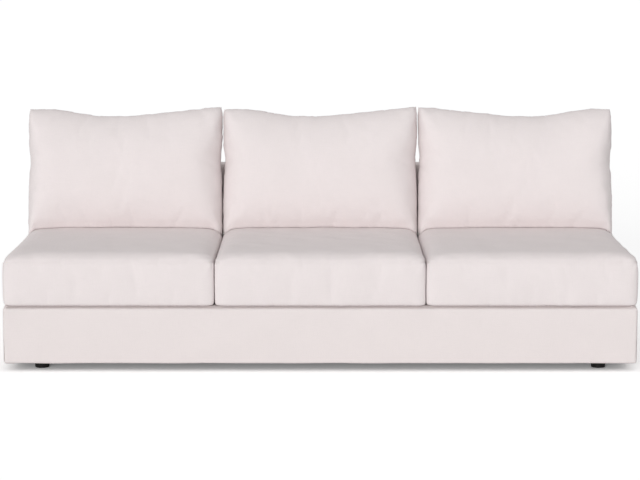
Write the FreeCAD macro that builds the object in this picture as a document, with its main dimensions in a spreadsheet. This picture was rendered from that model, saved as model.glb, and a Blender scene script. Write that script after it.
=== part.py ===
# Armless three-seat sofa: a timber frame on low feet, sprung deck, upholstered base and back,
# three loose seat cushions and three loose back cushions, each cushion with its own zip.
# Frame of the part: +Z up, the front faces -Y, origin on the floor under the middle.
import FreeCAD, Part
import functools
import math
import os
import Sketcher
from FreeCAD import Placement, Rotation, Vector

doc = FreeCAD.newDocument("ArmlessSofa")
sheet = doc.addObject("Spreadsheet::Sheet", "Sizes")

# Driving sizes, in millimetres and degrees.
SIZES = [
    ("CushionWidth", 761.0, "width of one seat or back cushion"),
    ("CushionGap", 1.2, "space between neighbouring cushions"),
    ("SeatDepth", 807.0, "seat cushion, front to rear"),
    ("SeatBoxing", 152.0, "height of the seat cushion's upright sides, with the lower rounding"),
    ("SeatLowerRounding", 9.0, "rounding of the seat cushion's lower edge"),
    ("SeatShoulderDrop", 32.0, "height of the seat cushion's upper rounding"),
    ("SeatShoulderReach", 45.0, "how far in that rounding runs"),
    ("SeatCrown", 10.0, "rise of the seat's top beyond the rounding"),
    ("SeatCrownReach", 170.0, "how far in the crown goes on rising"),
    ("SeatRearShare", 0.4, "the same reaches at the rear edge, as a share"),
    ("SeatCornerRadius", 14.0, "upright corners of the seat cushion"),
    ("SeatRearGap", 8.0, "space between the seat cushion and the inside back"),
    ("RestClearance", 0.3, "running space under and behind a loose cushion"),
    ("BackCushionHeight", 484.0, "ear to ear along the leaning back cushion"),
    ("BackCushionLean", 10.0, "lean of the back cushion from upright, in degrees"),
    ("BackFrontCrown", 112.0, "back cushion's fullness before its seam"),
    ("BackRearCrown", 92.0, "back cushion's fullness behind its seam"),
    ("BackShoulderReach", 62.0, "how far in the back cushion's rounding runs"),
    ("BackCrownReach", 80.0, "how far in the back cushion's crown goes on rising"),
    ("BackShoulderShare", 0.88, "share of the fullness reached by the rounding"),
    ("BackCornerRadius", 9.0, "radius of the back cushion's ears"),
    ("BackSideDrawIn", 9.0, "how far the back cushion's sides draw in at mid height"),
    ("BackTopDip", 26.0, "dip of the top edge below its lower ear"),
    ("BackEarDrop", 9.0, "lower ear below the higher ear"),
    ("BackDipPlace", 0.43, "place of the dip along the top edge, as a share"),
    ("BackDipStart", 0.2, "place where the top edge starts to dip, as a share"),
    ("BackBottomFlat", 500.0, "straight middle stretch of the bottom edge"),
    ("BackEarRun", 34.0, "stretch of the bottom edge beside an ear, where it bends most"),
    ("BackContactDepth", 90.0, "depth of the back cushion's flat underside"),
    ("BackSeamRise", 5.2, "lower seam above the flat underside, where the zip lies"),
    ("BackSeamRoom", 2.0, "space beside the zip's tape in that hollow"),
    ("TickingThickness", 2.0, "thickness of a cushion's cover"),
    ("FillClearance", 0.6, "space between a cushion's cover and its fill"),
    ("BackThickness", 150.0, "upholstered back at deck level"),
    ("BackTopThickness", 110.0, "upholstered back at its top"),
    ("BackHeight", 660.0, "top of the upholstered back above the floor"),
    ("BackTopRounding", 20.0, "rounding of the back's upper front edge"),
    ("BaseSetback", 3.0, "base end behind the outer cushion's side"),
    ("FootHeight", 27.0, "floor to the underside of the base"),
    ("FootTopDiameter", 56.0, "foot against the base"),
    ("FootBottomDiameter", 51.0, "foot on the floor"),
    ("FootEdgeRounding", 2.0, "rounding of the foot's floor edge"),
    ("FootInsetX", 126.0, "foot's centre from the base end"),
    ("FootInsetY", 78.0, "foot's centre from the front and from the rear"),
    ("FootRecessDiameter", 15.0, "recess for the foot screw's head"),
    ("FootRecessDepth", 12.0, "depth of that recess"),
    ("ScrewDiameter", 5.0, "shank of every wood screw"),
    ("ScrewHeadDiameter", 9.5, "head of every wood screw"),
    ("ScrewHeadHeight", 3.0, "height of that head"),
    ("FootScrewLength", 45.0, "shank of a foot screw"),
    ("FrameScrewLength", 62.0, "shank of a frame screw"),
    ("ScrewClearance", 0.05, "radial space round a screw in its hole"),
    ("DustCloth", 1.0, "dust cloth under the base"),
    ("DustClothInset", 6.0, "dust cloth's edge from the base's edge"),
    ("Fabric", 2.0, "upholstery fabric with its thin wadding"),
    ("FrontPad", 12.0, "padded cover on the front rail"),
    ("EndPad", 12.0, "padded cover on the ends"),
    ("RearSkin", 5.0, "cover on the outside back"),
    ("CoverRounding", 9.0, "rounding of the covers' outer edges"),
    ("RearRounding", 4.0, "rounding of the outside back cover's edges"),
    ("ReturnDepth", 40.0, "fabric turned in under the rails"),
    ("RailThickness", 25.0, "thickness of rails and posts"),
    ("RailHeight", 170.0, "height of the base rails"),
    ("TopRailHeight", 25.0, "height of the back's top rail"),
    ("LowerRailHeight", 50.0, "height of the back's lower rail"),
    ("LowerRailLift", 7.0, "back's lower rail above the deck's edge"),
    ("StretcherHeight", 110.0, "height of the seat stretchers"),
    ("BlockLength", 140.0, "foot block along the rail"),
    ("BlockDepth", 110.0, "foot block across the rail"),
    ("BlockHeight", 40.0, "height of a foot block"),
    ("BoardThickness", 3.0, "board across the rear of the back"),
    ("EdgeRollHeight", 36.0, "soft edge above the base rails"),
    ("WireDiameter", 4.0, "seat spring wire"),
    ("SpringWidth", 48.0, "width of a zigzag seat spring"),
    ("SpringRise", 18.0, "crown of a seat spring at mid depth"),
    ("SpringSpacing", 140.0, "seat springs under one cushion, centre to centre"),
    ("ClipLength", 20.0, "spring clip along the rail"),
    ("ClipDepth", 16.0, "spring clip across the rail"),
    ("ClipHeight", 6.5, "spring clip above the rail"),
    ("ClipFloor", 1.5, "spring clip under the wire"),
    ("TieWireDiameter", 3.0, "wire that ties the seat springs together"),
    ("Burlap", 1.5, "cloth over the seat springs"),
    ("DeckPad", 10.0, "padding over that cloth"),
    ("DeckCover", 2.0, "fabric over the deck"),
    ("SheetGap", 0.3, "space between springs, cloth, padding and deck fabric"),
    ("BackPad", 23.5, "foam on the front of the back"),
    ("WebbingSpace", 1.5, "space for webbing between the foam and the posts"),
    ("WebbingThickness", 1.2, "elastic webbing"),
    ("WebbingWidth", 50.0, "elastic webbing, up the back"),
    ("WebbingSpacing", 85.0, "elastic webbing, centre to centre"),
    ("TopPad", 18.0, "foam over the top rail"),
    ("SeatZipInset", 80.5, "end of a seat cushion's zip from the cushion's side"),
    ("BackZipInset", 150.5, "end of a back cushion's zip from the cushion's side"),
    ("TapeWidth", 28.0, "zip tape"),
    ("TapeThickness", 0.8, "zip tape"),
    ("CoilWidth", 4.0, "zip coil"),
    ("CoilHeight", 1.6, "zip coil"),
    ("StopLength", 5.0, "end stop of a zip"),
    ("SliderLength", 14.0, "zip slider"),
    ("SliderWidth", 9.0, "zip slider"),
    ("SliderWall", 1.0, "roof of a zip slider"),
    ("SliderClearance", 0.3, "space between a zip's slider and its coil"),
    ("PullLength", 24.0, "pull of a zip slider"),
    ("PullWidth", 6.0, "pull of a zip slider"),
    ("PullThickness", 0.8, "pull of a zip slider"),
]
for row, (alias, value, meaning) in enumerate(SIZES, start=1):
    sheet.set(f"A{row}", alias)
    sheet.set(f"B{row}", str(value))
    sheet.set(f"C{row}", meaning)
    sheet.setAlias(f"B{row}", alias)
doc.recompute()

SPRING_RUNS = 36
SPRINGS_PER_SEAT = 5
WEBBING_STRAPS = 4
SEATS = {"left": -1, "middle": 0, "right": 1}
ENDS = {"left": -1, "right": 1}


def named(text):
    """An expression in which each driving size is written as a cell of the sheet."""
    for alias in sorted((name for name, _, _ in SIZES), key=len, reverse=True):
        text = text.replace(f"<{alias}>", f"Sizes.{alias}")
    return f"({text})"


@functools.lru_cache(maxsize=None)
def number(expression):
    """The present value of an expression."""
    result = sheet.evalExpression(expression)
    return float(getattr(result, "Value", result))


# Places across the sofa, from its middle plane.
pitch = named("<CushionWidth> + <CushionGap>")
half_base = named("(3 * <CushionWidth> + 2 * <CushionGap>) / 2 - <BaseSetback>")
half_frame = named(f"{half_base} - <EndPad>")
end_inner = named(f"{half_frame} - <RailThickness>")

# Places along the depth, from the front to the rear.
rear = named("(<SeatDepth> + <SeatRearGap> + <BackThickness>) / 2")
front = f"(-{rear})"
rail_front = named(f"{front} + <FrontPad>")
rail_inner = named(f"{rail_front} + <RailThickness>")
back_face = named(f"{rear} - <BackThickness>")
seat_rear = named(f"{back_face} - <SeatRearGap>")
pad_front = named(f"{back_face} + <Fabric>")
pad_rear = named(f"{pad_front} + <BackPad>")
post_front = named(f"{pad_rear} + <WebbingSpace>")
spring_rail_front = named(f"{post_front} - <RailThickness>")
board_rear = named(f"{rear} - <RearSkin>")
post_rear = named(f"{board_rear} - <BoardThickness>")
rear_rail_front = named(f"{post_rear} - <RailThickness>")

# Levels above the floor.
base_bottom = named("<FootHeight>")
cloth_top = named(f"{base_bottom} + <DustCloth>")
rail_bottom = named(f"{cloth_top} + <Fabric>")
rail_top = named(f"{rail_bottom} + <RailHeight>")
roll_top = named(f"{rail_top} + <EdgeRollHeight>")
deck_edge = named(f"{roll_top} + <Fabric>")
clip_top = named(f"{rail_top} + <ClipHeight>")
burlap_top = named(f"{clip_top} + <Burlap>")
back_top = named("<BackHeight>")
pad_top = named(f"{back_top} - <Fabric>")
post_top = named(f"{pad_top} - <TopPad>")
top_rail_bottom = named(f"{post_top} - <TopRailHeight>")
back_skirt = named(f"{burlap_top} + <SheetGap>")
seat_bottom = named(f"{deck_edge} + <RestClearance>")
rake = named(f"(<BackThickness> - <BackTopThickness>) / ({back_top} - {deck_edge})")


def raked(place, level):
    """A place in the depth that leans rearwards with the inside back above the deck's edge."""
    return f"({place} + {rake} * ({level} - {deck_edge}))"


def bind(thing, properties):
    """Sets each property of an object, or of its placement, by an expression."""
    for name, expression in properties.items():
        thing.setExpression(name, expression)
    return thing


def board(label, x, y, z):
    """A rectangular piece between a low and a high expression along each axis."""
    piece = doc.addObject("Part::Box", label)
    for size, axis, (low, high) in zip(("Length", "Width", "Height"), "xyz", (x, y, z)):
        bind(piece, {size: f"{high} - {low}", f"Placement.Base.{axis}": low})
    return piece


def rod(label, radius, length, x, y, z, direction):
    """A round piece that starts at a point and runs along a direction."""
    piece = doc.addObject("Part::Cylinder", label)
    piece.Placement.Rotation = Rotation(Vector(0, 0, 1), direction)
    bind(piece, {"Radius": radius, "Height": length})
    return bind(piece, {"Placement.Base.x": x, "Placement.Base.y": y, "Placement.Base.z": z})


def group(label, pieces):
    """Several separate solids under one name."""
    result = doc.addObject("Part::Compound", label)
    result.Links = pieces
    return result


def fused(label, pieces):
    """Several touching shapes made one solid."""
    result = doc.addObject("Part::MultiFuse", label)
    result.Shapes = pieces
    result.Refine = True
    return result


def cut(label, base, tool):
    """One shape with another taken out of it."""
    result = doc.addObject("Part::Cut", label)
    result.Base = base
    result.Tool = tool
    return result


def origin_plane(body, role):
    """One of a body's own origin planes."""
    return next(plane for plane in body.Origin.OriginFeatures if plane.Role == role)


def outline(body, name, role, points):
    """A closed sketch through points, each given by two expressions."""
    sketch = body.newObject("Sketcher::SketchObject", name)
    sketch.AttachmentSupport = [(origin_plane(body, role), "")]
    sketch.MapMode = "FlatFace"
    places = [(number(across), number(up)) for across, up in points]
    count = len(places)
    for index in range(count):
        start = Vector(*places[index], 0)
        end = Vector(*places[(index + 1) % count], 0)
        sketch.addGeometry(Part.LineSegment(start, end), False)
    for index in range(count):
        sketch.addConstraint(Sketcher.Constraint("Coincident", index, 2, (index + 1) % count, 1))
    for index, (across, up) in enumerate(points):
        for kind, expression, value in zip(("DistanceX", "DistanceY"), (across, up), places[index]):
            made = sketch.addConstraint(Sketcher.Constraint(kind, -1, 1, index, 1, value))
            sketch.setExpression(f"Constraints[{made}]", expression)
    return sketch


def pad(body, name, points, length):
    """A profile seen from the end of the sofa, made as wide as length about the body's place."""
    feature = body.newObject("PartDesign::Pad", name)
    feature.Profile = outline(body, f"{name}_outline", "YZ_Plane", points)
    feature.Midplane = True
    bind(feature, {"Length": length})
    doc.recompute()
    return feature


def rectangle(y, z):
    """The four corners of an upright rectangle in a profile."""
    return [(y[0], z[0]), (y[1], z[0]), (y[1], z[1]), (y[0], z[1])]


def round_edges(body, name, radius, wanted):
    """Rounds those edges of the body's last feature whose ends all pass a test."""
    base = body.Tip
    names = []
    for index, edge in enumerate(base.Shape.Edges, start=1):
        if wanted(edge):
            names.append(f"Edge{index}")
    feature = body.newObject("PartDesign::Fillet", name)
    feature.Base = (base, names)
    bind(feature, {"Radius": radius})
    doc.recompute()
    return feature


def on_plane(edge, axis, value):
    """True where both ends of an edge lie at one value of one axis."""
    return all(abs(getattr(vertex.Point, axis) - value) < 0.01 for vertex in edge.Vertexes)


def make_body(label):
    """A new body, named as its sub-part."""
    return doc.addObject("PartDesign::Body", label)


# Screws, with the holes that they need.
screw_radius = named("<ScrewDiameter> / 2")
screw_head = named("<ScrewHeadDiameter> / 2")
hole_radius = named(f"{screw_radius} + <ScrewClearance>")
head_hole = named(f"{screw_head} + <ScrewClearance>")


def screw(label, x, y, z, direction, length):
    """A wood screw whose head sits flush at a point, and the tool that makes its hole."""
    head = rod(f"{label}_head", screw_head, named("<ScrewHeadHeight>"), x, y, z, direction)
    shank = rod(f"{label}_shank", screw_radius, length, x, y, z, direction)
    wide = rod(f"{label}_recess", head_hole, named("<ScrewHeadHeight>"), x, y, z, direction)
    narrow = rod(f"{label}_bore", hole_radius, length, x, y, z, direction)
    return fused(label, [head, shank]), fused(f"{label}_hole", [wide, narrow])


def make_frame_screws():
    """Screws at the rail ends: from the front into the end rails, and from the ends into the rails."""
    screws, holes = [], []
    length = named("<FrameScrewLength>")
    rail_middle = named(f"{half_frame} - <RailThickness> / 2")
    levels = [named(f"{rail_bottom} + <RailHeight> * {share}") for share in (0.3, 0.7)]
    for side, sign in ENDS.items():
        for height, level in zip(("low", "high"), levels):
            name = f"{side}_{height}"
            into_end = Vector(0, 1, 0)
            made = [screw(f"front_{name}", f"{sign} * {rail_middle}", rail_front, level, into_end, length)]
            across = Vector(-sign, 0, 0)
            for rail, place in (("spring", spring_rail_front), ("rear", rear_rail_front)):
                middle = named(f"{place} + <RailThickness> / 2")
                made.append(screw(f"{rail}_{name}", f"{sign} * {half_frame}", middle, level, across, length))
            screws.extend(one for one, _ in made)
            holes.extend(hole for _, hole in made)
    return group("frame_screws", screws), group("frame_screw_holes", holes)


frame_screws, frame_holes = make_frame_screws()

# Feet stand under the four corners and under the middle of each seat stretcher.
foot_x = named(f"{half_base} - <FootInsetX>")
foot_front = named(f"{front} + <FootInsetY>")
foot_rear = named(f"{rear} - <FootInsetY>")
stretcher_x = named(f"{pitch} / 2")
stretcher_middle = named(f"({rail_inner} + {spring_rail_front}) / 2")
CORNER_FEET = {
    "front_left_foot": (f"(-{foot_x})", foot_front),
    "front_right_foot": (foot_x, foot_front),
    "rear_left_foot": (f"(-{foot_x})", foot_rear),
    "rear_right_foot": (foot_x, foot_rear),
}
CENTRE_FEET = {
    "left": (f"(-{stretcher_x})", stretcher_middle),
    "right": (stretcher_x, stretcher_middle),
}


def make_foot(label, x, y):
    """A round, slightly tapered plastic foot with a recessed screw hole."""
    body = make_body(label)
    top = named("<FootTopDiameter> / 2")
    bottom = named("<FootBottomDiameter> / 2")
    recess = named("<FootRecessDiameter> / 2")
    bore = named(f"{screw_radius} + 6 * <ScrewClearance>")
    profile = [
        (bore, named("<FootRecessDepth>")),
        (recess, named("<FootRecessDepth>")),
        (recess, "0"),
        (bottom, "0"),
        (top, base_bottom),
        (bore, base_bottom),
    ]
    turned = body.newObject("PartDesign::Revolution", f"{label}_turned")
    turned.Profile = outline(body, f"{label}_profile", "XZ_Plane", profile)
    turned.ReferenceAxis = (turned.Profile[0], ["V_Axis"])
    turned.Angle = 360
    doc.recompute()
    floor_edge = number(bottom)

    def is_floor_edge(edge):
        return on_plane(edge, "z", 0) and abs(edge.Curve.Radius - floor_edge) < 0.01

    round_edges(body, f"{label}_edge", named("<FootEdgeRounding>"), is_floor_edge)
    return bind(body, {"Placement.Base.x": x, "Placement.Base.y": y})


corner_feet = [make_foot(label, x, y) for label, (x, y) in CORNER_FEET.items()]
centre_feet = group("centre_feet", [
    make_foot(f"{side}_centre_foot", x, y) for side, (x, y) in CENTRE_FEET.items()
])


def make_foot_screws():
    """One screw up through each foot into its block."""
    screws, holes = [], []
    head_level = named("<FootRecessDepth> - <ScrewHeadHeight>")
    for index, (x, y) in enumerate([*CORNER_FEET.values(), *CENTRE_FEET.values()]):
        label = f"foot_screw_{index + 1}"
        made = screw(label, x, y, head_level, Vector(0, 0, 1), named("<FootScrewLength>"))
        screws.append(made[0])
        holes.append(made[1])
    return group("foot_screws", screws), group("foot_screw_holes", holes)


foot_screws, foot_holes = make_foot_screws()


def mirrored(low, high, sign):
    """A range across the sofa, on its left for a sign of -1."""
    return (low, high) if sign > 0 else (f"(-{high})", f"(-{low})")


def make_base_timber():
    """Rails, stretchers and foot blocks of the base."""
    height = (rail_bottom, rail_top)
    whole = (f"(-{half_frame})", half_frame)
    between = (f"(-{end_inner})", end_inner)
    rails = {
        "front_rail": (whole, (rail_front, rail_inner)),
        "rear_rail": (between, (rear_rail_front, post_rear)),
        "spring_rail": (between, (spring_rail_front, post_front)),
    }
    parts = [cut(name, board(f"{name}_blank", x, y, height), frame_holes) for name, (x, y) in rails.items()]
    for side, sign in ENDS.items():
        place = mirrored(end_inner, half_frame, sign)
        blank = board(f"{side}_end_blank", place, (rail_inner, post_front), height)
        parts.append(cut(f"{side}_end_rail", blank, frame_holes))
    block_top = named(f"{cloth_top} + <BlockHeight>")
    stretcher_top = named(f"{block_top} + <StretcherHeight>")
    half_rail = named("<RailThickness> / 2")
    stretchers, blocks = [], []
    for side, sign in ENDS.items():
        x = mirrored(f"({stretcher_x} - {half_rail})", f"({stretcher_x} + {half_rail})", sign)
        y = (rail_inner, spring_rail_front)
        stretchers.append(board(f"{side}_stretcher", x, y, (block_top, stretcher_top)))
        level = (cloth_top, block_top)
        corner = mirrored(named(f"{end_inner} - <BlockLength>"), end_inner, sign)
        front_y = (rail_inner, named(f"{rail_inner} + <BlockDepth>"))
        blocks.append(board(f"front_{side}_block", corner, front_y, level))
        blocks.append(board(f"rear_{side}_block", corner, (post_front, rear_rail_front), level))
        half_block = named("<BlockDepth> / 2")
        middle = mirrored(f"({stretcher_x} - {half_block})", f"({stretcher_x} + {half_block})", sign)
        middle_y = (f"({stretcher_middle} - {half_block})", f"({stretcher_middle} + {half_block})")
        blocks.append(board(f"centre_{side}_block", middle, middle_y, level))
    parts.append(group("seat_stretchers", stretchers))
    parts.append(cut("foot_blocks", group("foot_block_blanks", blocks), foot_holes))
    return parts


base_timber = make_base_timber()


def make_post(label, y_rear, top, x):
    """An upright of the back, straight below the deck's edge and raked above it in front."""
    body = make_body(label)
    profile = [
        (post_front, rail_bottom),
        (y_rear, rail_bottom),
        (y_rear, top),
        (raked(post_front, top), top),
        (post_front, deck_edge),
    ]
    pad(body, f"{label}_profile", profile, named("<RailThickness>"))
    return bind(body, {"Placement.Base.x": x})


def make_back_timber():
    """Posts, rails and rear board of the back."""
    outer_x = named(f"{half_frame} - <RailThickness> / 2")
    outer = [
        make_post(f"{side}_outer_post", post_rear, post_top, f"{sign} * {outer_x}")
        for side, sign in ENDS.items()
    ]
    inner = [
        make_post(f"{side}_inner_post", rear_rail_front, top_rail_bottom, f"{sign} * {stretcher_x}")
        for side, sign in ENDS.items()
    ]
    between = (f"(-{end_inner})", end_inner)
    top_rail = board("back_top_rail", between, (raked(post_front, post_top), post_rear),
                     (top_rail_bottom, post_top))
    low = named(f"{deck_edge} + <LowerRailLift>")
    high = named(f"{low} + <LowerRailHeight>")
    lower_front = raked(post_front, high)
    lower_y = (lower_front, named(f"{lower_front} + <RailThickness>"))
    post_side = named(f"{stretcher_x} - <RailThickness> / 2")
    post_far = named(f"{stretcher_x} + <RailThickness> / 2")
    spans = {
        "left": (f"(-{end_inner})", f"(-{post_far})"),
        "middle": (f"(-{post_side})", post_side),
        "right": (post_far, end_inner),
    }
    lower_rail = group("back_lower_rail", [
        board(f"{name}_lower_rail", span, lower_y, (low, high)) for name, span in spans.items()
    ])
    rear_board = board("back_board", (f"(-{half_frame})", half_frame), (post_rear, board_rear),
                       (rail_bottom, post_top))
    return [cut("outer_back_posts", group("outer_post_blanks", outer), frame_holes),
            group("inner_back_posts", inner), top_rail, lower_rail, rear_board]


back_timber = make_back_timber()


# The seat springs run from the front rail to the spring rail, on a shallow crown.
spring_start = named(f"{rail_front} + <RailThickness> / 2")
spring_end = named(f"{spring_rail_front} + <RailThickness> / 2")
wire_level = named(f"{rail_top} + <ClipFloor> + <WireDiameter> / 2")


def crown_level(y):
    """Height of a spring's wire at a place in the depth."""
    start, end = number(spring_start), number(spring_end)
    share = (2 * y - start - end) / (end - start)
    return number(wire_level) + number(named("<SpringRise>")) * (1 - share ** 2)


def make_spring_shape():
    """One zigzag spring: straight runs across, joined by half circles."""
    start, end = number(spring_start), number(spring_end)
    step = (end - start) / (SPRING_RUNS - 1)
    half_run = (number(named("<SpringWidth>")) - step) / 2
    edges = []
    side = 1
    for index in range(SPRING_RUNS):
        y = start + index * step
        run_start = Vector(-side * half_run, y, crown_level(y))
        run_end = Vector(side * half_run, y, crown_level(y))
        edges.append(Part.LineSegment(run_start, run_end).toShape())
        if index < SPRING_RUNS - 1:
            next_start = Vector(side * half_run, y + step, crown_level(y + step))
            middle = (run_end + next_start) * 0.5
            bulge = Vector(side * (next_start - run_end).Length / 2, 0, 0)
            edges.append(Part.Arc(run_end, middle + bulge, next_start).toShape())
        side = -side
    path = Part.Wire(edges)
    ring = Part.makeCircle(number(named("<WireDiameter>")) / 2, path.Vertexes[0].Point, Vector(1, 0, 0))
    return path.makePipeShell([Part.Wire(ring)], True, False)


def spring_places():
    """Places of the springs across the sofa."""
    spacing = number(named("<SpringSpacing>"))
    middle = (SPRINGS_PER_SEAT - 1) / 2
    return [
        seat * number(pitch) + (index - middle) * spacing
        for seat in SEATS.values()
        for index in range(SPRINGS_PER_SEAT)
    ]


def make_seat_springs():
    """Springs, their clips and the wires that tie them together."""
    one = make_spring_shape()
    springs = doc.addObject("Part::Feature", "seat_springs")
    copies = []
    for x in spring_places():
        copy = one.copy()
        copy.translate(Vector(x, 0, 0))
        copies.append(copy)
    springs.Shape = Part.makeCompound(copies)
    clips = []
    half_clip = named("<ClipLength> / 2")
    half_depth = named("<ClipDepth> / 2")
    for seat, seat_sign in SEATS.items():
        for index in range(SPRINGS_PER_SEAT):
            offset = index - (SPRINGS_PER_SEAT - 1) / 2
            middle = named(f"{seat_sign} * {pitch} + {offset} * <SpringSpacing>")
            for end, y in (("front", spring_start), ("rear", spring_end)):
                clips.append(board(f"{seat}_clip_{end}_{index + 1}",
                                   (f"({middle} - {half_clip})", f"({middle} + {half_clip})"),
                                   (f"({y} - {half_depth})", f"({y} + {half_depth})"),
                                   (rail_top, clip_top)))
    bore = named("<WireDiameter> / 2 + <ScrewClearance>")
    length = f"2 * {half_frame}"
    rods = [
        rod(f"clip_bore_{end}", bore, length, f"(-{half_frame})", y, wire_level, Vector(1, 0, 0))
        for end, y in (("front", spring_start), ("rear", spring_end))
    ]
    clip_set = cut("spring_clips", group("clip_blanks", clips), group("clip_bores", rods))
    wires = []
    tie_radius = named("<TieWireDiameter> / 2")
    step = f"(({spring_end} - {spring_start}) / {SPRING_RUNS - 1})"
    for side, run in (("front", SPRING_RUNS // 3), ("rear", SPRING_RUNS - 1 - SPRING_RUNS // 3)):
        y = f"({spring_start} + {run} * {step})"
        share = f"((2 * {y} - {spring_start} - {spring_end}) / ({spring_end} - {spring_start}))"
        wire = named(f"{wire_level} + <SpringRise> * (1 - {share} * {share})")
        z = named(f"{wire} - <WireDiameter> / 2 - <SheetGap> - {tie_radius}")
        wires.append(rod(f"{side}_tie_wire", tie_radius, f"2 * {end_inner}", f"(-{end_inner})", y, z,
                         Vector(1, 0, 0)))
    return [springs, clip_set, group("spring_tie_wires", wires)]


spring_parts = make_seat_springs()


def crowned_sheet(label, y_start, y_end, level, rise, thickness):
    """A sheet across the deck that bows up between its front and rear edges."""
    low, high = number(y_start), number(y_end)
    middle = (low + high) / 2
    half_width = number(end_inner)
    z, lift, deep = number(level), number(rise), number(thickness)
    corners = [Vector(-half_width, low, z), Vector(-half_width, high, z)]
    under = Part.Arc(corners[0], Vector(-half_width, middle, z + lift), corners[1]).toShape()
    over = under.copy()
    over.translate(Vector(0, 0, deep))
    sides = [Part.LineSegment(corner, corner + Vector(0, 0, deep)).toShape() for corner in corners]
    face = Part.Face(Part.Wire([under, sides[1], over, sides[0]]))
    piece = doc.addObject("Part::Feature", label)
    piece.Shape = face.extrude(Vector(2 * half_width, 0, 0))
    return piece


def make_deck():
    """Cloth, padding and fabric over the springs, and the soft edges round them."""
    rise = named("<SpringRise> - 1")
    deck_front = named(f"{rail_inner} + <SheetGap>")
    deck_rear = named(f"{back_face} - <SheetGap>")
    cloth_level = named(f"{wire_level} + <WireDiameter> / 2 + 1 + <SheetGap>")
    pad_level = named(f"{cloth_level} + <Burlap> + <SheetGap>")
    cover_level = named(f"{pad_level} + <DeckPad> + <SheetGap>")
    sheets = [
        crowned_sheet("burlap", deck_front, deck_rear, cloth_level, rise, named("<Burlap>")),
        crowned_sheet("deck_pad", deck_front, deck_rear, pad_level, rise, named("<DeckPad>")),
        crowned_sheet("deck_cover", deck_front, deck_rear, cover_level, rise, named("<DeckCover>")),
    ]
    rolls = [board("front_edge_roll", (f"(-{half_frame})", half_frame), (rail_front, rail_inner),
                   (named(f"{clip_top} + <SheetGap>"), roll_top))]
    for side, sign in ENDS.items():
        rolls.append(board(f"{side}_edge_roll", mirrored(end_inner, half_frame, sign),
                           (rail_inner, back_face), (rail_top, roll_top)))
    return [*sheets, group("edge_rolls", rolls)]


deck_parts = make_deck()


def make_webbing():
    """Elastic straps across the posts, up the raked back."""
    angle = named(f"atan({rake})")
    straps = []
    for index in range(WEBBING_STRAPS):
        level = named(f"{deck_edge} + <LowerRailLift> + <WebbingSpacing> * {index + 0.5}")
        face = named(f"{raked(pad_rear, level)} + (<WebbingSpace> - <WebbingThickness>) / 2")
        strap = doc.addObject("Part::Box", f"webbing_strap_{index + 1}")
        strap.Placement.Rotation = Rotation(Vector(-1, 0, 0), 1)
        bind(strap, {
            "Length": f"2 * {half_frame}",
            "Width": named("<WebbingThickness>"),
            "Height": named("<WebbingWidth>"),
            "Placement.Base.x": f"(-{half_frame})",
            "Placement.Base.y": face,
            "Placement.Base.z": level,
            "Placement.Rotation.Angle": angle,
        })
        straps.append(strap)
    return group("back_webbing", straps)


back_webbing = make_webbing()


def make_back_soft():
    """Foam and fabric over the front and top of the back."""
    foam = make_body("back_pad")
    profile = [
        (pad_front, back_skirt),
        (pad_rear, back_skirt),
        (pad_rear, deck_edge),
        (raked(pad_rear, post_top), post_top),
        (board_rear, post_top),
        (board_rear, pad_top),
        (raked(pad_front, pad_top), pad_top),
        (pad_front, deck_edge),
    ]
    pad(foam, "back_pad_profile", profile, f"2 * {half_frame}")
    foam_edge = number(raked(pad_front, pad_top))
    round_edges(foam, "back_pad_rounding", named("<BackTopRounding> - <Fabric>"),
                lambda edge: on_plane(edge, "y", foam_edge) and on_plane(edge, "z", number(pad_top)))
    skin = make_body("inside_back_cover")
    profile = [
        (back_face, back_skirt),
        (pad_front, back_skirt),
        (pad_front, deck_edge),
        (raked(pad_front, pad_top), pad_top),
        (board_rear, pad_top),
        (board_rear, back_top),
        (raked(back_face, back_top), back_top),
        (back_face, deck_edge),
    ]
    pad(skin, "inside_back_profile", profile, f"2 * {half_frame}")
    for name, place, level, radius in (
        ("outer", raked(back_face, back_top), back_top, named("<BackTopRounding>")),
        ("inner", raked(pad_front, pad_top), pad_top, named("<BackTopRounding> - <Fabric>")),
    ):
        y, z = number(place), number(level)
        round_edges(skin, f"inside_back_{name}", radius,
                    lambda edge, y=y, z=z: on_plane(edge, "y", y) and on_plane(edge, "z", z))
    return [foam, skin]


back_soft = make_back_soft()


def make_front_cover():
    """Padded fabric over the front rail, turned in over the deck's edge and under the rail."""
    cover = make_body("front_cover")
    pad(cover, "front_panel", rectangle((front, rail_front), (cloth_top, deck_edge)), f"2 * {half_base}")
    y = number(front)
    round_edges(cover, "front_rounding", named("<CoverRounding>"), lambda edge: on_plane(edge, "y", y))
    pad(cover, "front_top_return", rectangle((rail_front, rail_inner), (roll_top, deck_edge)),
        f"2 * {half_frame}")
    under = named(f"{rail_front} + <ReturnDepth>")
    pad(cover, "front_lower_return", rectangle((rail_front, rail_inner), (cloth_top, rail_bottom)),
        f"2 * {half_frame}")
    return cover


def make_end_cover(side, sign):
    """Padded fabric over one end of the base, turned in over the deck's edge and under the rail."""
    cover = make_body(f"{side}_end_cover")
    pad(cover, f"{side}_end_panel", rectangle((rail_front, board_rear), (cloth_top, deck_edge)),
        named("<EndPad>"))
    outer = sign * number(named("<EndPad> / 2"))
    low = number(cloth_top)
    round_edges(cover, f"{side}_end_rounding", named("<CoverRounding>"),
                lambda edge: on_plane(edge, "x", outer) and on_plane(edge, "z", low))
    return bind(cover, {"Placement.Base.x": named(f"{sign} * ({half_base} - <EndPad> / 2)")})


def make_end_returns(side, sign):
    """The end cover's fabric where it lies over the soft edge and under the end rail."""
    x = mirrored(end_inner, half_frame, sign)
    top = board(f"{side}_top_return", x, (rail_inner, back_face), (roll_top, deck_edge))
    under = board(f"{side}_lower_return", x, (rail_inner, post_rear), (cloth_top, rail_bottom))
    return [top, under]


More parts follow.
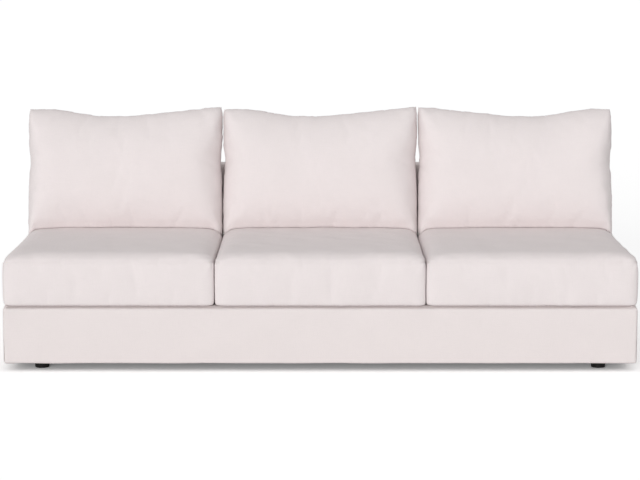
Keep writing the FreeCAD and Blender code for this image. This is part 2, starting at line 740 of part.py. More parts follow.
def make_back_side_cover(side, sign):
    """Padded fabric over one end of the back."""
    cover = make_body(f"{side}_back_cover")
    profile = [
        (back_face, deck_edge),
        (board_rear, deck_edge),
        (board_rear, back_top),
        (raked(back_face, back_top), back_top),
    ]
    pad(cover, f"{side}_back_panel", profile, named("<EndPad>"))
    y, z = number(raked(back_face, back_top)), number(back_top)
    round_edges(cover, f"{side}_back_corner", named("<BackTopRounding>"),
                lambda edge: on_plane(edge, "y", y) and on_plane(edge, "z", z))
    return bind(cover, {"Placement.Base.x": named(f"{sign} * ({half_base} - <EndPad> / 2)")})


def make_outside_back():
    """Fabric over the rear of the base and back."""
    cover = make_body("outside_back_cover")
    pad(cover, "outside_back_panel", rectangle((board_rear, rear), (cloth_top, back_top)), f"2 * {half_base}")
    y = number(rear)
    round_edges(cover, "outside_back_rounding", named("<RearRounding>"), lambda edge: on_plane(edge, "y", y))
    return cover


def make_dust_cover():
    """Dark cloth under the base, with a hole for each foot screw."""
    inset = named("<DustClothInset>")
    x = named(f"{half_base} - {inset}")
    cloth = board("dust_cloth_blank", (f"(-{x})", x), (f"({front} + {inset})", f"({rear} - {inset})"),
                  (base_bottom, cloth_top))
    return cut("dust_cover", cloth, foot_holes)


covers = [make_front_cover()]
for end_side, end_sign in ENDS.items():
    panel = make_end_cover(end_side, end_sign)
    panel.Label = f"{end_side}_end_panel_body"
    covers.append(fused(f"{end_side}_end_cover_whole", [panel, *make_end_returns(end_side, end_sign)]))
    covers[-1].Label = f"{end_side}_end_cover"
    covers.append(make_back_side_cover(end_side, end_sign))
covers += [make_outside_back(), make_dust_cover()]


# Loose cushions: each is a stack of level outlines, joined by a ruled loft.
seam_hollow = named("<TapeWidth> / 2 + <BackSeamRoom>")


def arc_edge(start, middle, end):
    """An arc through three points, or a line where they lie in a row."""
    if (middle - start).cross(end - start).Length < 1e-6:
        return Part.LineSegment(start, end).toShape()
    return Part.Arc(start, middle, end).toShape()


def closed_outline(corners, radius, bows):
    """A wire round four corners, with rounded ears and a bowed or dipped edge between each two.
    bows gives, for each edge, the points that it passes between its two ears."""
    count = len(corners)
    edges = []
    for index, corner in enumerate(corners):
        before, after = corners[index - 1], corners[(index + 1) % count]
        inward = (before - corner).normalize() * radius
        onward = (after - corner).normalize() * radius
        entry, leave = corner + inward, corner + onward
        centre = corner + inward + onward
        middle = centre + (corner - centre).normalize() * radius
        edges.append(arc_edge(entry, middle, leave))
        arrive = after + (corner - after).normalize() * radius
        stops = [leave, *bows[index], arrive]
        for start, through, end in zip(stops[::2], stops[1::2], stops[2::2]):
            edges.append(arc_edge(start, through, end))
    return Part.Wire(edges)


def seat_levels(inset):
    """Height and inset of each outline of a seat cushion, drawn in all round by a skin's thickness."""
    rounding = number(named("<SeatLowerRounding>"))
    boxing = number(named("<SeatBoxing>"))
    drop, reach = number(named("<SeatShoulderDrop>")), number(named("<SeatShoulderReach>"))
    crown, crown_reach = number(named("<SeatCrown>")), number(named("<SeatCrownReach>"))
    levels = [
        (inset + rounding * (1 - math.cos(math.radians(30 * step))),
         inset + rounding * (1 - math.sin(math.radians(30 * step))))
        for step in range(4)
    ]
    for step in range(5):
        angle = math.radians(20 * step)
        levels.append((boxing + drop * math.sin(angle) - inset, inset + reach * (1 - math.cos(angle))))
    for share in (0.3, 0.65, 1.0):
        rise = crown * (1 - (1 - share) ** 2)
        levels.append((boxing + drop + rise - inset, inset + reach + crown_reach * share))
    return levels


def seat_outline(height, inset):
    """One level outline of a seat cushion, about the middle of its width and from its front."""
    half = number(named("<CushionWidth>")) / 2 - inset
    share = number(named("<SeatRearShare>"))
    near, far = number(front) + inset, number(seat_rear) - inset * share
    z = number(seat_bottom) + height
    radius = number(named("<SeatCornerRadius>")) + inset / 2
    corners = [Vector(-half, near, z), Vector(half, near, z), Vector(half, far, z), Vector(-half, far, z)]
    bows = [[(a + b) * 0.5] for a, b in zip(corners, corners[1:] + corners[:1])]
    return closed_outline(corners, radius, bows)


def seat_shape(skin):
    """A seat cushion drawn in by a skin's thickness."""
    return Part.makeLoft([seat_outline(height, inset) for height, inset in seat_levels(skin)], True, True)


def back_levels(skin):
    """Distance from the seam and inset of each outline of a back cushion, front to rear."""
    reach, crown_reach = number(named("<BackShoulderReach>")), number(named("<BackCrownReach>"))
    share = number(named("<BackShoulderShare>"))

    def half(fullness):
        full = fullness - skin
        steps = []
        hollow_angle = math.asin(number(seam_hollow) / (full * share))
        for angle in (hollow_angle, *(math.radians(22.5 * step) for step in range(1, 5))):
            steps.append((full * share * math.sin(angle), skin + reach * (1 - math.cos(angle))))
        for part in (0.5, 1.0):
            rise = share + (1 - share) * (1 - (1 - part) ** 2)
            steps.append((full * rise, skin + reach + crown_reach * part))
        return steps

    ahead = [(-away, inset) for away, inset in half(number(named("<BackFrontCrown>")))]
    behind = half(number(named("<BackRearCrown>")))
    return [*reversed(ahead), (0.0, skin), *behind]


def seat_rise(x):
    """Rise of the seat's top from below a back cushion's ear to a place nearer its middle."""
    ear = number(named("<CushionWidth> / 2 - <BackCornerRadius>"))
    middle = number(seat_rear) - number(named("<SeatRearShare>")) * ear
    return seat_top_at(x, middle) - seat_top_at(ear, middle)


def back_outline(away, inset, skin, mirror):
    """One outline of a back cushion at a distance from its seam, before it leans."""
    width = number(named("<CushionWidth>"))
    height = number(named("<BackCushionHeight>"))
    half = width / 2 - inset
    ear_drop, dip = number(named("<BackEarDrop>")), number(named("<BackTopDip>"))
    lean = math.radians(number(named("<BackCushionLean>")))
    contact = number(named("<BackContactDepth>")) / 2
    flat_away = max(-contact, min(contact, away))
    low = flat_away * math.tan(lean) + (skin if abs(away) <= contact else inset)
    if abs(away) <= number(seam_hollow) + 0.01:
        low += number(named("<BackSeamRise>"))
    # How far the outline has closed in, from none at the seam to most at the crown.
    closing = min(1.0, inset / (0.5 * height))
    flat = number(named("<BackBottomFlat>")) / 2 * (1 - closing)
    draw = number(named("<BackSideDrawIn>"))
    top = height - inset
    middle_low = low + seat_rise(0) / math.cos(lean)
    # An ear's rounding takes no more than two fifths of the side that it ends.
    side = top - ear_drop - middle_low
    radius = min(number(named("<BackCornerRadius>")) + inset / 3, 0.4 * side)

    def point(x, z):
        return Vector(-x if mirror else x, away, z)

    dip_x = -half + 2 * half * number(named("<BackDipPlace>"))
    start_x = -half + 2 * half * number(named("<BackDipStart>"))
    reach = half - radius
    run = number(named("<BackEarRun>"))
    # The bottom edge follows the seat's top from each ear to its straight middle stretch.
    places = [flat, (flat + reach - run) / 2, reach - run, reach - run * 0.45]
    rising = [point(-x, low + seat_rise(x) / math.cos(lean)) for x in reversed(places[1:])]
    falling = [point(x, low + seat_rise(x) / math.cos(lean)) for x in places[1:]]
    bottom = [*rising, point(-flat, middle_low), point(0, middle_low), point(flat, middle_low), *falling]
    ear_low = low + seat_rise(reach) / math.cos(lean)
    corners = [point(-half, ear_low), point(half, ear_low), point(half, top), point(-half, top - ear_drop)]
    right = [point(half - draw, (ear_low + top) / 2)]
    dip_point = point(dip_x, top - ear_drop - dip)
    top_edge = [
        point((reach + dip_x) / 2, top - (ear_drop + dip) * 0.56),
        dip_point,
        point((dip_x + start_x) / 2, top - ear_drop - dip * 0.53),
        point(start_x, top - ear_drop),
        point((start_x - reach) / 2, top - ear_drop + 1.0),
    ]
    left = [point(-half + draw, (ear_low + top - ear_drop) / 2)]
    return closed_outline(corners, radius, [bottom, right, top_edge, left])


def back_wires(skin, mirror):
    """All outlines of a back cushion, leaned back about its lower seam."""
    lean = number(named("<BackCushionLean>"))
    wires = []
    for away, inset in back_levels(skin):
        wire = back_outline(away, inset, skin, mirror)
        wire.rotate(Vector(0, 0, 0), Vector(1, 0, 0), -lean)
        wires.append(wire)
    return wires


def seat_top_at(x, y):
    """Height of the seat cushion's top at a place, the cushion's middle being at x = 0."""
    half = number(named("<CushionWidth>")) / 2
    share = number(named("<SeatRearShare>"))
    inset = min(half - abs(x), (number(seat_rear) - y) / share, y - number(front))
    levels = [(away, number(seat_bottom) + height) for height, away in seat_levels(0.0)[4:]]
    if inset <= levels[0][0]:
        return levels[0][1]
    for (near, low), (far, high) in zip(levels, levels[1:]):
        if inset <= far:
            return low + (high - low) * (inset - near) / (far - near)
    return levels[-1][1]


def back_rest_place():
    """Where a leaned back cushion has to stand to rest on the seat and against the inside back."""
    clearance = number(named("<RestClearance>"))
    points = [p for wire in back_wires(0.0, False) for edge in wire.Edges for p in edge.discretize(9)]
    slope, face, edge_level = number(rake), number(back_face), number(deck_edge)
    top_level = number(back_top)
    y, z = 0.0, number(seat_bottom) + number(named("<SeatBoxing> + <SeatShoulderDrop>"))
    for _ in range(6):
        y = min(
            face + slope * (min(top_level, p.z + z) - edge_level) - clearance - p.y
            for p in points if p.z + z <= top_level
        )
        z = max(seat_top_at(p.x, p.y + y) + clearance - p.z for p in points)
    return Vector(0, y, z)


def hollow(outer, inner):
    """A closed skin between an outer and an inner shape."""
    return Part.makeSolid(Part.makeCompound([outer.Shells[0], inner.Shells[0].reversed()]))


def soft_piece(label, shape, place):
    """A sub-part whose shape comes from the cushion outlines."""
    piece = doc.addObject("Part::Feature", label)
    piece.Shape = shape
    piece.Placement = Placement(place, Rotation())
    return piece


def make_cushions():
    """Covers and fills of the seat and back cushions."""
    ticking = number(named("<TickingThickness>"))
    fill = ticking + number(named("<FillClearance>"))
    seat_cover = hollow(seat_shape(0.0), seat_shape(ticking))
    seat_fill = seat_shape(fill)
    place = back_rest_place()
    made = []
    for seat, sign in SEATS.items():
        across = Vector(sign * number(pitch), 0, 0)
        made.append(soft_piece(f"{seat}_seat_cover", seat_cover, across))
        made.append(soft_piece(f"{seat}_seat_foam", seat_fill, across))
        mirror = sign > 0
        shapes = [Part.makeLoft(back_wires(skin, mirror), True, True) for skin in (0.0, ticking, fill)]
        made.append(soft_piece(f"{seat}_back_cushion_cover", hollow(shapes[0], shapes[1]), across + place))
        made.append(soft_piece(f"{seat}_back_cushion_fill", shapes[2], across + place))
    return made, place


cushions, back_place = make_cushions()


def make_zip(label, length, x, y, z, turn):
    """A closed zip along X with its face towards local +Z: the tape with its coil and stops, and the
    slider with its pull, parked at the left end."""
    tape_top = named("<TapeThickness>")
    coil_top = named(f"{tape_top} + <CoilHeight>")
    half = f"({length} / 2)"
    stop = named("<StopLength>")
    clearance = named("<SliderClearance>")
    stop_top = named(f"{coil_top} + {clearance}")

    def across(width):
        return (f"(-{width} / 2)", f"({width} / 2)")

    tape = board(f"{label}_tape", (f"(-{half})", half), across(named("<TapeWidth>")), ("0", tape_top))
    coil = board(f"{label}_coil", (f"(-{half})", half), across(named("<CoilWidth>")), ("0", coil_top))
    roof = named(f"{stop_top} + <SliderWall>")
    stops = [
        board(f"{label}_{end}_stop", x_range, across(named("<SliderWidth>")), ("0", stop_top))
        for end, x_range in (
            ("left", (f"(-{half})", f"({stop} - {half})")),
            ("right", (f"({half} - {stop})", half)),
        )
    ]
    zip_tape = fused(f"{label}_zip", [tape, coil, *stops])
    start = named(f"{stop} - {half} + {clearance}")
    end = named(f"{start} + <SliderLength>")
    block = board(f"{label}_block", (start, end), across(named("<SliderWidth>")),
                  (named(f"{tape_top} + {clearance}"), roof))
    channel = board(f"{label}_channel", (named(f"{start} - 1"), named(f"{end} + 1")),
                    across(named(f"(<CoilWidth> + 2 * {clearance})")),
                    ("0", stop_top))
    shell = cut(f"{label}_slider_shell", block, channel)
    tab = board(f"{label}_pull", (named(f"{start} + <SliderLength> / 3"),
                                  named(f"{start} + <SliderLength> / 3 + <PullLength>")),
                across(named("<PullWidth>")), (roof, named(f"{roof} + <PullThickness>")))
    slider = fused(f"{label}_zip_slider", [shell, tab])
    for piece in (zip_tape, slider):
        piece.Placement.Rotation = turn
        bind(piece, {"Placement.Base.x": x, "Placement.Base.y": y, "Placement.Base.z": z})
    return [zip_tape, slider]


def make_zips():
    """Zips at the rear of the seat cushions and under the back cushions."""
    made = []
    middle = named(f"{seat_bottom} + (<SeatLowerRounding> + <SeatBoxing>) / 2")
    lean = math.radians(number(named("<BackCushionLean>")))
    seam_rise = seat_rise(0) / math.cos(lean) + number(named("<BackSeamRise>"))
    under_y = back_place.y + seam_rise * math.sin(lean)
    under_z = back_place.z + seam_rise * math.cos(lean)
    for seat, sign in SEATS.items():
        x = named(f"{sign} * {pitch}")
        made += make_zip(f"{seat}_seat", named("<CushionWidth> - 2 * <SeatZipInset>"), x, seat_rear, middle,
                         Rotation(Vector(1, 0, 0), -90))
        made += make_zip(f"{seat}_back_cushion", named("<CushionWidth> - 2 * <BackZipInset>"), x,
                         str(under_y), str(under_z), Rotation(Vector(1, 0, 0), 180))
    return made


zips = make_zips()

SUB_PARTS = [
    frame_screws, foot_screws, *corner_feet, centre_feet, *base_timber, *back_timber, *spring_parts,
    *deck_parts, back_webbing, *back_soft, *covers, *cushions, *zips,
]


def check_document():
    """Stops the build where an object failed or a sub-part has no valid shape."""
    doc.recompute()
    failed = [thing.Name for thing in doc.Objects if {"Invalid", "Error"} & set(thing.State)]
    if failed:
        raise RuntimeError(f"these objects failed: {failed}")
    for piece in SUB_PARTS:
        if piece.Shape.isNull() or not piece.Shape.isValid() or not piece.Shape.Solids:
            raise RuntimeError(f"{piece.Label} has no valid solid")


check_document()
os.makedirs("parts", exist_ok=True)
for piece in SUB_PARTS:
    piece.Shape.exportStep(f"parts/{piece.Label}.step")
    print(f"{piece.Label}: {len(piece.Shape.Solids)} solids, {piece.Shape.Volume / 1000:.1f} cm3")
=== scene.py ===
import math
import bpy
import numpy as np
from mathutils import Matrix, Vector
from mathutils.bvhtree import BVHTree
from mathutils.kdtree import KDTree


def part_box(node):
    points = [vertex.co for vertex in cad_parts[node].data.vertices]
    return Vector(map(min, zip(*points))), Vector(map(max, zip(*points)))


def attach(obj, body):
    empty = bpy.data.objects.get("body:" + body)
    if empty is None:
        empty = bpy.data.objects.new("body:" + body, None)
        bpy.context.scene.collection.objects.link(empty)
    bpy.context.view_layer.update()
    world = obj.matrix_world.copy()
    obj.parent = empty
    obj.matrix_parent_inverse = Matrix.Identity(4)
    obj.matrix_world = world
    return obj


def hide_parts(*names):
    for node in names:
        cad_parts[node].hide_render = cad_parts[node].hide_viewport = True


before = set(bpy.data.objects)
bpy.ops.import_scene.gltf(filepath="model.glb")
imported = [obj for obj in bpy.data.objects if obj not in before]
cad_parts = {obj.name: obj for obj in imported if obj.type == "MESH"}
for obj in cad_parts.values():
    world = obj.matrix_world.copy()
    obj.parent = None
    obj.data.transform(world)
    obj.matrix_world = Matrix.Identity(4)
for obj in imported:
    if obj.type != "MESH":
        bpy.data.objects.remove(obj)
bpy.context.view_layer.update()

scene = bpy.context.scene
seatNames = ("left", "middle", "right")
endNames = ("left", "right")
print("frame loaded")


# Small helpers for points, noise and grids. Lengths are in metres.

def unit(vectors):
    length = np.linalg.norm(vectors, axis=-1, keepdims=True)
    return vectors / np.maximum(length, 1e-12)


def smooth(value):
    value = np.clip(value, 0.0, 1.0)
    return value * value * (3 - 2 * value)


def ripple(points, wavelength, seed, waves=9):
    # soft uneven waves, from -1 to 1, the same on every run
    draw = np.random.RandomState(seed)
    points = np.atleast_2d(points)
    total = np.zeros(len(points))
    for turn in range(waves):
        direction = unit(draw.normal(size=points.shape[1]))
        rate = 2 * math.pi / (wavelength * draw.uniform(0.7, 1.5))
        total += np.sin(points @ direction * rate + draw.uniform(0, 2 * math.pi))
    return total / math.sqrt(waves) / 1.4


def spread(start, end, cell, firm=()):
    # places from start to end: the firm ones near each end, then even steps of about one cell
    inner = [start + step for step in firm] + [end - step for step in reversed(firm)]
    low, high = (inner[len(firm) - 1], inner[len(firm)]) if firm else (start, end)
    count = max(1, round((high - low) / cell))
    even = [low + (high - low) * step / count for step in range(count + 1)]
    return np.array([*inner[:len(firm)], *(even[1:-1] if firm else even), *inner[len(firm):]])


def gridNormals(grid):
    along = np.gradient(grid, axis=0)
    across = np.gradient(grid, axis=1)
    return unit(np.cross(along, across))


def gridCells(rows, columns, first=0):
    cells = []
    for i in range(rows - 1):
        for j in range(columns - 1):
            corner = first + i * columns + j
            cells.append((corner, corner + columns, corner + columns + 1, corner + 1))
    return cells


def boxCells(nx, ny, nz):
    # the places on the surface of a lattice, and the cells between them, facing outwards
    index, cells = {}, []

    def at(*place):
        return index.setdefault(place, len(index))

    for i in range(nx):
        for j in range(ny):
            cells.append((at(i, j, 0), at(i, j + 1, 0), at(i + 1, j + 1, 0), at(i + 1, j, 0)))
            cells.append((at(i, j, nz), at(i + 1, j, nz), at(i + 1, j + 1, nz), at(i, j + 1, nz)))
    for k in range(nz):
        for i in range(nx):
            cells.append((at(i, 0, k), at(i + 1, 0, k), at(i + 1, 0, k + 1), at(i, 0, k + 1)))
            cells.append((at(i, ny, k), at(i, ny, k + 1), at(i + 1, ny, k + 1), at(i + 1, ny, k)))
        for j in range(ny):
            cells.append((at(0, j, k), at(0, j, k + 1), at(0, j + 1, k + 1), at(0, j + 1, k)))
            cells.append((at(nx, j, k), at(nx, j + 1, k), at(nx, j + 1, k + 1), at(nx, j, k + 1)))
    return np.array(list(index)), cells


def layCloth(mesh):
    # texture places in metres: each face takes the two axes that it faces least
    layer = mesh.uv_layers.new(name="cloth")
    count = len(mesh.loops)
    places = np.zeros(len(mesh.vertices) * 3)
    mesh.vertices.foreach_get("co", places)
    corners = np.zeros(count, dtype=int)
    mesh.loops.foreach_get("vertex_index", corners)
    normals = np.zeros(len(mesh.polygons) * 3)
    mesh.polygons.foreach_get("normal", normals)
    sizes = np.zeros(len(mesh.polygons), dtype=int)
    mesh.polygons.foreach_get("loop_total", sizes)
    facing = np.repeat(np.abs(normals.reshape(-1, 3)).argmax(axis=1), sizes)
    places = places.reshape(-1, 3)[corners]
    across = np.where(facing == 0, places[:, 1], places[:, 0])
    up = np.where(facing == 2, places[:, 1], places[:, 2])
    layer.data.foreach_set("uv", np.column_stack([across, up]).ravel())


def makePiece(name, points, cells, body, slot, material, nodes=()):
    mesh = bpy.data.meshes.new(name)
    mesh.from_pydata([tuple(p) for p in np.asarray(points, float)], [], cells)
    mesh.validate()
    mesh.polygons.foreach_set("use_smooth", [True] * len(mesh.polygons))
    layCloth(mesh)
    piece = bpy.data.objects.new(name, mesh)
    scene.collection.objects.link(piece)
    mesh.materials.append(material)
    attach(piece, body)
    if nodes:
        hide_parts(*nodes)
    return piece


def thickSheet(grid, thickness):
    # a closed skin: the outer grid, the same grid moved inwards, and a rim between them
    rows, columns = grid.shape[:2]
    inner = grid - gridNormals(grid) * thickness
    points = np.concatenate([grid.reshape(-1, 3), inner.reshape(-1, 3)])
    under = rows * columns
    cells = gridCells(rows, columns)
    cells += [tuple(reversed(cell)) for cell in gridCells(rows, columns, under)]
    rim = [i * columns for i in range(rows)]
    rim += [(rows - 1) * columns + j for j in range(1, columns)]
    rim += [i * columns + columns - 1 for i in range(rows - 2, -1, -1)]
    rim += list(range(columns - 2, 0, -1))
    for start, end in zip(rim, rim[1:] + rim[:1]):
        cells.append((end, start, start + under, end + under))
    return points, cells


def joined(parts):
    # several (points, cells) as one
    points, cells, first = [], [], 0
    for some, faces in parts:
        points.append(np.asarray(some, float))
        cells += [tuple(first + corner for corner in face) for face in faces]
        first += len(some)
    return np.concatenate(points), cells


# Shader groups. Each puts out masks, colours or heights, and a material turns them into a finish.

class Nodes:
    # a short way to add and link nodes in one tree
    def __init__(self, tree):
        self.tree = tree

    def add(self, kind, settings=None, **inputs):
        node = self.tree.nodes.new(kind)
        for name, value in (settings or {}).items():
            setattr(node, name, value)
        for name, value in inputs.items():
            self.put(value, node.inputs[int(name[1:]) if name[0] == "i" and name[1:].isdigit() else name])
        return node

    def put(self, value, socket):
        if isinstance(value, bpy.types.NodeSocket):
            self.tree.links.new(value, socket)
        elif socket.type == "RGBA":
            socket.default_value = (*value, 1.0)
        else:
            socket.default_value = value

    def math(self, operation, first, second=0.0):
        return self.add("ShaderNodeMath", {"operation": operation}, i0=first, i1=second).outputs[0]

    def noise(self, vector, scale, detail=2.0, roughness=0.5):
        return self.add("ShaderNodeTexNoise", Vector=vector, Scale=scale, Detail=detail,
                        Roughness=roughness).outputs["Fac"]

    def stretch(self, vector, factors):
        return self.add("ShaderNodeVectorMath", {"operation": "MULTIPLY"}, i0=vector, i1=factors).outputs[0]

    def range(self, value, low, high, start=0.0, end=1.0):
        node = self.add("ShaderNodeMapRange", Value=value)
        for name, number in (("From Min", low), ("From Max", high), ("To Min", start), ("To Max", end)):
            self.put(number, node.inputs[name])
        return node.outputs[0]

    def mix(self, factor, first, second):
        node = self.add("ShaderNodeMix", {"data_type": "RGBA"})
        self.put(factor, node.inputs[0])
        self.put(first, node.inputs[6])
        self.put(second, node.inputs[7])
        return node.outputs[2]


def newGroup(name, inputs, outputs):
    group = bpy.data.node_groups.new(name, "ShaderNodeTree")
    for label, kind, value in inputs:
        socket = group.interface.new_socket(name=label, in_out="INPUT", socket_type=kind)
        if value is not None:
            socket.default_value = value
    for label, kind in outputs:
        group.interface.new_socket(name=label, in_out="OUTPUT", socket_type=kind)
    nodes = Nodes(group)
    source = nodes.add("NodeGroupInput").outputs
    result = nodes.add("NodeGroupOutput").inputs
    return group, nodes, source, result


def makeWeave():
    # plain weave: threads over and under each other, with slubs along each thread
    group, nodes, source, result = newGroup(
        "plainWeave",
        [("Vector", "NodeSocketVector", None), ("Thread", "NodeSocketFloat", 0.001),
         ("Slub", "NodeSocketFloat", 0.5)],
        [("Height", "NodeSocketFloat"), ("Gap", "NodeSocketFloat"), ("Slubs", "NodeSocketFloat")])
    rate = nodes.math("DIVIDE", math.pi, source["Thread"])
    parts = nodes.add("ShaderNodeSeparateXYZ", Vector=source["Vector"]).outputs
    warp = nodes.math("SINE", nodes.math("MULTIPLY", parts[0], rate))
    weft = nodes.math("SINE", nodes.math("MULTIPLY", parts[1], rate))
    over = nodes.math("ABSOLUTE", nodes.math("MULTIPLY", warp, weft))
    alongWarp = nodes.noise(nodes.stretch(source["Vector"], (1.0, 0.06, 1.0)), 420.0, 1.0)
    alongWeft = nodes.noise(nodes.stretch(source["Vector"], (0.06, 1.0, 1.0)), 420.0, 1.0)
    slubs = nodes.math("MAXIMUM", alongWarp, alongWeft)
    lifted = nodes.math("MULTIPLY", nodes.range(slubs, 0.45, 0.8), source["Slub"])
    nodes.put(nodes.math("ADD", nodes.math("SQRT", over), lifted), result["Height"])
    # Gap is 1 in the hollows between threads, and the cloth paints them darker as painted shade
    nodes.put(nodes.range(over, 0.25, 0.0), result["Gap"])
    nodes.put(nodes.range(slubs, 0.5, 0.8), result["Slubs"])
    return group


def makeCrease():
    # soft creases and the slow unevenness of stretched cloth
    group, nodes, source, result = newGroup(
        "softCrease",
        [("Vector", "NodeSocketVector", None), ("Size", "NodeSocketFloat", 0.05)],
        [("Height", "NodeSocketFloat"), ("Mottle", "NodeSocketFloat")])
    rate = nodes.math("DIVIDE", 1.0, source["Size"])
    broad = nodes.noise(source["Vector"], rate, 3.0, 0.55)
    fine = nodes.noise(nodes.stretch(source["Vector"], (1.0, 2.6, 1.0)), nodes.math("MULTIPLY", rate, 2.3))
    ridge = nodes.math("ABSOLUTE", nodes.math("SUBTRACT", fine, 0.5))
    nodes.put(nodes.math("ADD", broad, nodes.math("MULTIPLY", ridge, -0.5)), result["Height"])
    nodes.put(nodes.range(broad, 0.3, 0.7), result["Mottle"])
    return group


def makeGrain():
    # sawn timber: long rings, fine fibres and a few darker streaks along one axis
    group, nodes, source, result = newGroup(
        "timberGrain",
        [("Vector", "NodeSocketVector", None), ("Along", "NodeSocketVector", (0.06, 1.0, 1.0))],
        [("Ring", "NodeSocketFloat"), ("Fibre", "NodeSocketFloat"), ("Height", "NodeSocketFloat")])
    stretched = nodes.stretch(source["Vector"], source["Along"])
    bend = nodes.noise(stretched, 14.0, 2.0)
    rings = nodes.math("SINE", nodes.math("MULTIPLY", bend, 46.0))
    fibre = nodes.noise(stretched, 900.0, 2.0, 0.7)
    nodes.put(nodes.range(rings, -1.0, 1.0), result["Ring"])
    nodes.put(fibre, result["Fibre"])
    nodes.put(nodes.math("ADD", nodes.math("MULTIPLY", rings, 0.12), fibre), result["Height"])
    return group


def makeWear():
    # dust and handling: cloudy marks, and a mask of the convex edges
    group, nodes, source, result = newGroup(
        "handledEdge",
        [("Vector", "NodeSocketVector", None), ("Size", "NodeSocketFloat", 0.02)],
        [("Edge", "NodeSocketFloat"), ("Marks", "NodeSocketFloat")])
    point = nodes.add("ShaderNodeNewGeometry").outputs["Pointiness"]
    marks = nodes.noise(source["Vector"], nodes.math("DIVIDE", 1.0, source["Size"]), 4.0, 0.6)
    edge = nodes.math("MULTIPLY", nodes.range(point, 0.52, 0.6), nodes.range(marks, 0.35, 0.6))
    nodes.put(edge, result["Edge"])
    nodes.put(nodes.range(marks, 0.35, 0.75), result["Marks"])
    return group


def makeDrawn():
    # fine lines that drawing or rolling leaves along metal
    group, nodes, source, result = newGroup("drawnLines", [("Vector", "NodeSocketVector", None)],
                                            [("Height", "NodeSocketFloat")])
    nodes.put(nodes.noise(nodes.stretch(source["Vector"], (1.0, 14.0, 14.0)), 260.0), result["Height"])
    return group


def makeMoulded():
    # the fine even grain of a moulded surface
    group, nodes, source, result = newGroup("mouldedGrain", [("Vector", "NodeSocketVector", None)],
                                            [("Height", "NodeSocketFloat")])
    nodes.put(nodes.noise(source["Vector"], 1400.0), result["Height"])
    return group


def makeCells():
    # open foam cells or fibre tufts of one size, and slow clouds
    group, nodes, source, result = newGroup(
        "openCells", [("Vector", "NodeSocketVector", None), ("Cell", "NodeSocketFloat", 0.001)],
        [("Height", "NodeSocketFloat"), ("Clouds", "NodeSocketFloat")])
    cells = nodes.add("ShaderNodeTexVoronoi", Vector=source["Vector"],
                      Scale=nodes.math("DIVIDE", 1.0, source["Cell"])).outputs["Distance"]
    nodes.put(cells, result["Height"])
    nodes.put(nodes.range(nodes.noise(source["Vector"], 9.0, 3.0), 0.3, 0.7), result["Clouds"])
    return group


weaveGroup, creaseGroup, grainGroup, wearGroup = makeWeave(), makeCrease(), makeGrain(), makeWear()
drawnGroup, mouldedGroup, cellGroup = makeDrawn(), makeMoulded(), makeCells()


def newMaterial(name, space):
    # a material with its nodes, its main shader, and the texture places that it reads
    material = bpy.data.materials.new(name)
    material.use_nodes = True
    nodes = Nodes(material.node_tree)
    shader = material.node_tree.nodes["Principled BSDF"]
    coordinates = nodes.add("ShaderNodeTexCoord").outputs[space]
    return material, nodes, shader, coordinates


def useGroup(nodes, group, **inputs):
    node = nodes.add("ShaderNodeGroup", {"node_tree": group})
    for name, value in inputs.items():
        nodes.put(value, node.inputs[name])
    return node.outputs


def setBump(nodes, shader, height, distance, strength=1.0):
    bump = nodes.add("ShaderNodeBump", Height=height, Distance=distance, Strength=strength)
    nodes.put(bump.outputs[0], shader.inputs["Normal"])


clothLooks = {
    # the seat, back and base cloths are one fabric: the back's copy is painted a hair darker and the base's
    # copy two to three per cent darker, as painted shade
    "seatCloth": dict(colour=(0.850, 0.783, 0.779), thread=0.0011, crease=0.11, creaseDepth=0.0012),
    "backCloth": dict(colour=(0.847, 0.780, 0.776), thread=0.0011, crease=0.12, creaseDepth=0.0016),
    "baseCloth": dict(colour=(0.833, 0.765, 0.756), thread=0.0011, crease=0.16, creaseDepth=0.0012),
    "deckLining": dict(colour=(0.70, 0.65, 0.62), thread=0.0007, crease=0.08, creaseDepth=0.0012),
    "jute": dict(colour=(0.35, 0.24, 0.13), thread=0.0028, crease=0.05, creaseDepth=0.001, space="Object"),
    "zipTape": dict(colour=(0.78, 0.73, 0.71), thread=0.0006, crease=0.05, creaseDepth=0.0002),
}


def makeCloth(name, colour, thread, crease, creaseDepth, space="UV"):
    material, nodes, shader, places = newMaterial(name, space)
    weave = useGroup(nodes, weaveGroup, Vector=places, Thread=thread, Slub=0.35)
    creased = useGroup(nodes, creaseGroup, Vector=places, Size=crease)
    darker = [0.90 * part for part in colour]
    gapShade = [0.72 * part for part in colour]
    base = nodes.mix(nodes.math("MULTIPLY", creased["Mottle"], 0.25), colour, darker)
    base = nodes.mix(nodes.math("MULTIPLY", weave["Slubs"], 0.3), base, darker)
    # painted shade: the hollows between threads are coloured darker, as if shaded
    nodes.put(nodes.mix(nodes.math("MULTIPLY", weave["Gap"], 0.3), base, gapShade), shader.inputs["Base Color"])
    nodes.put(nodes.range(weave["Slubs"], 0.0, 1.0, 0.93, 0.82), shader.inputs["Roughness"])
    shader.inputs["Sheen Weight"].default_value = 0.08
    shader.inputs["Sheen Roughness"].default_value = 0.45
    shader.inputs["Specular IOR Level"].default_value = 0.25
    slow = nodes.math("MULTIPLY", creased["Height"], creaseDepth / 0.001)
    fast = nodes.math("MULTIPLY", weave["Height"], 0.16 * thread / 0.001)
    setBump(nodes, shader, nodes.math("ADD", slow, fast), 0.001)
    return material


woodLooks = {
    "pine": dict(light=(0.60, 0.43, 0.25), dark=(0.42, 0.27, 0.13), along=(0.06, 1.0, 1.0)),
    "pineUpright": dict(light=(0.60, 0.43, 0.25), dark=(0.42, 0.27, 0.13), along=(1.0, 1.0, 0.06)),
    "pineDeep": dict(light=(0.58, 0.41, 0.24), dark=(0.40, 0.26, 0.13), along=(1.0, 0.06, 1.0)),
}


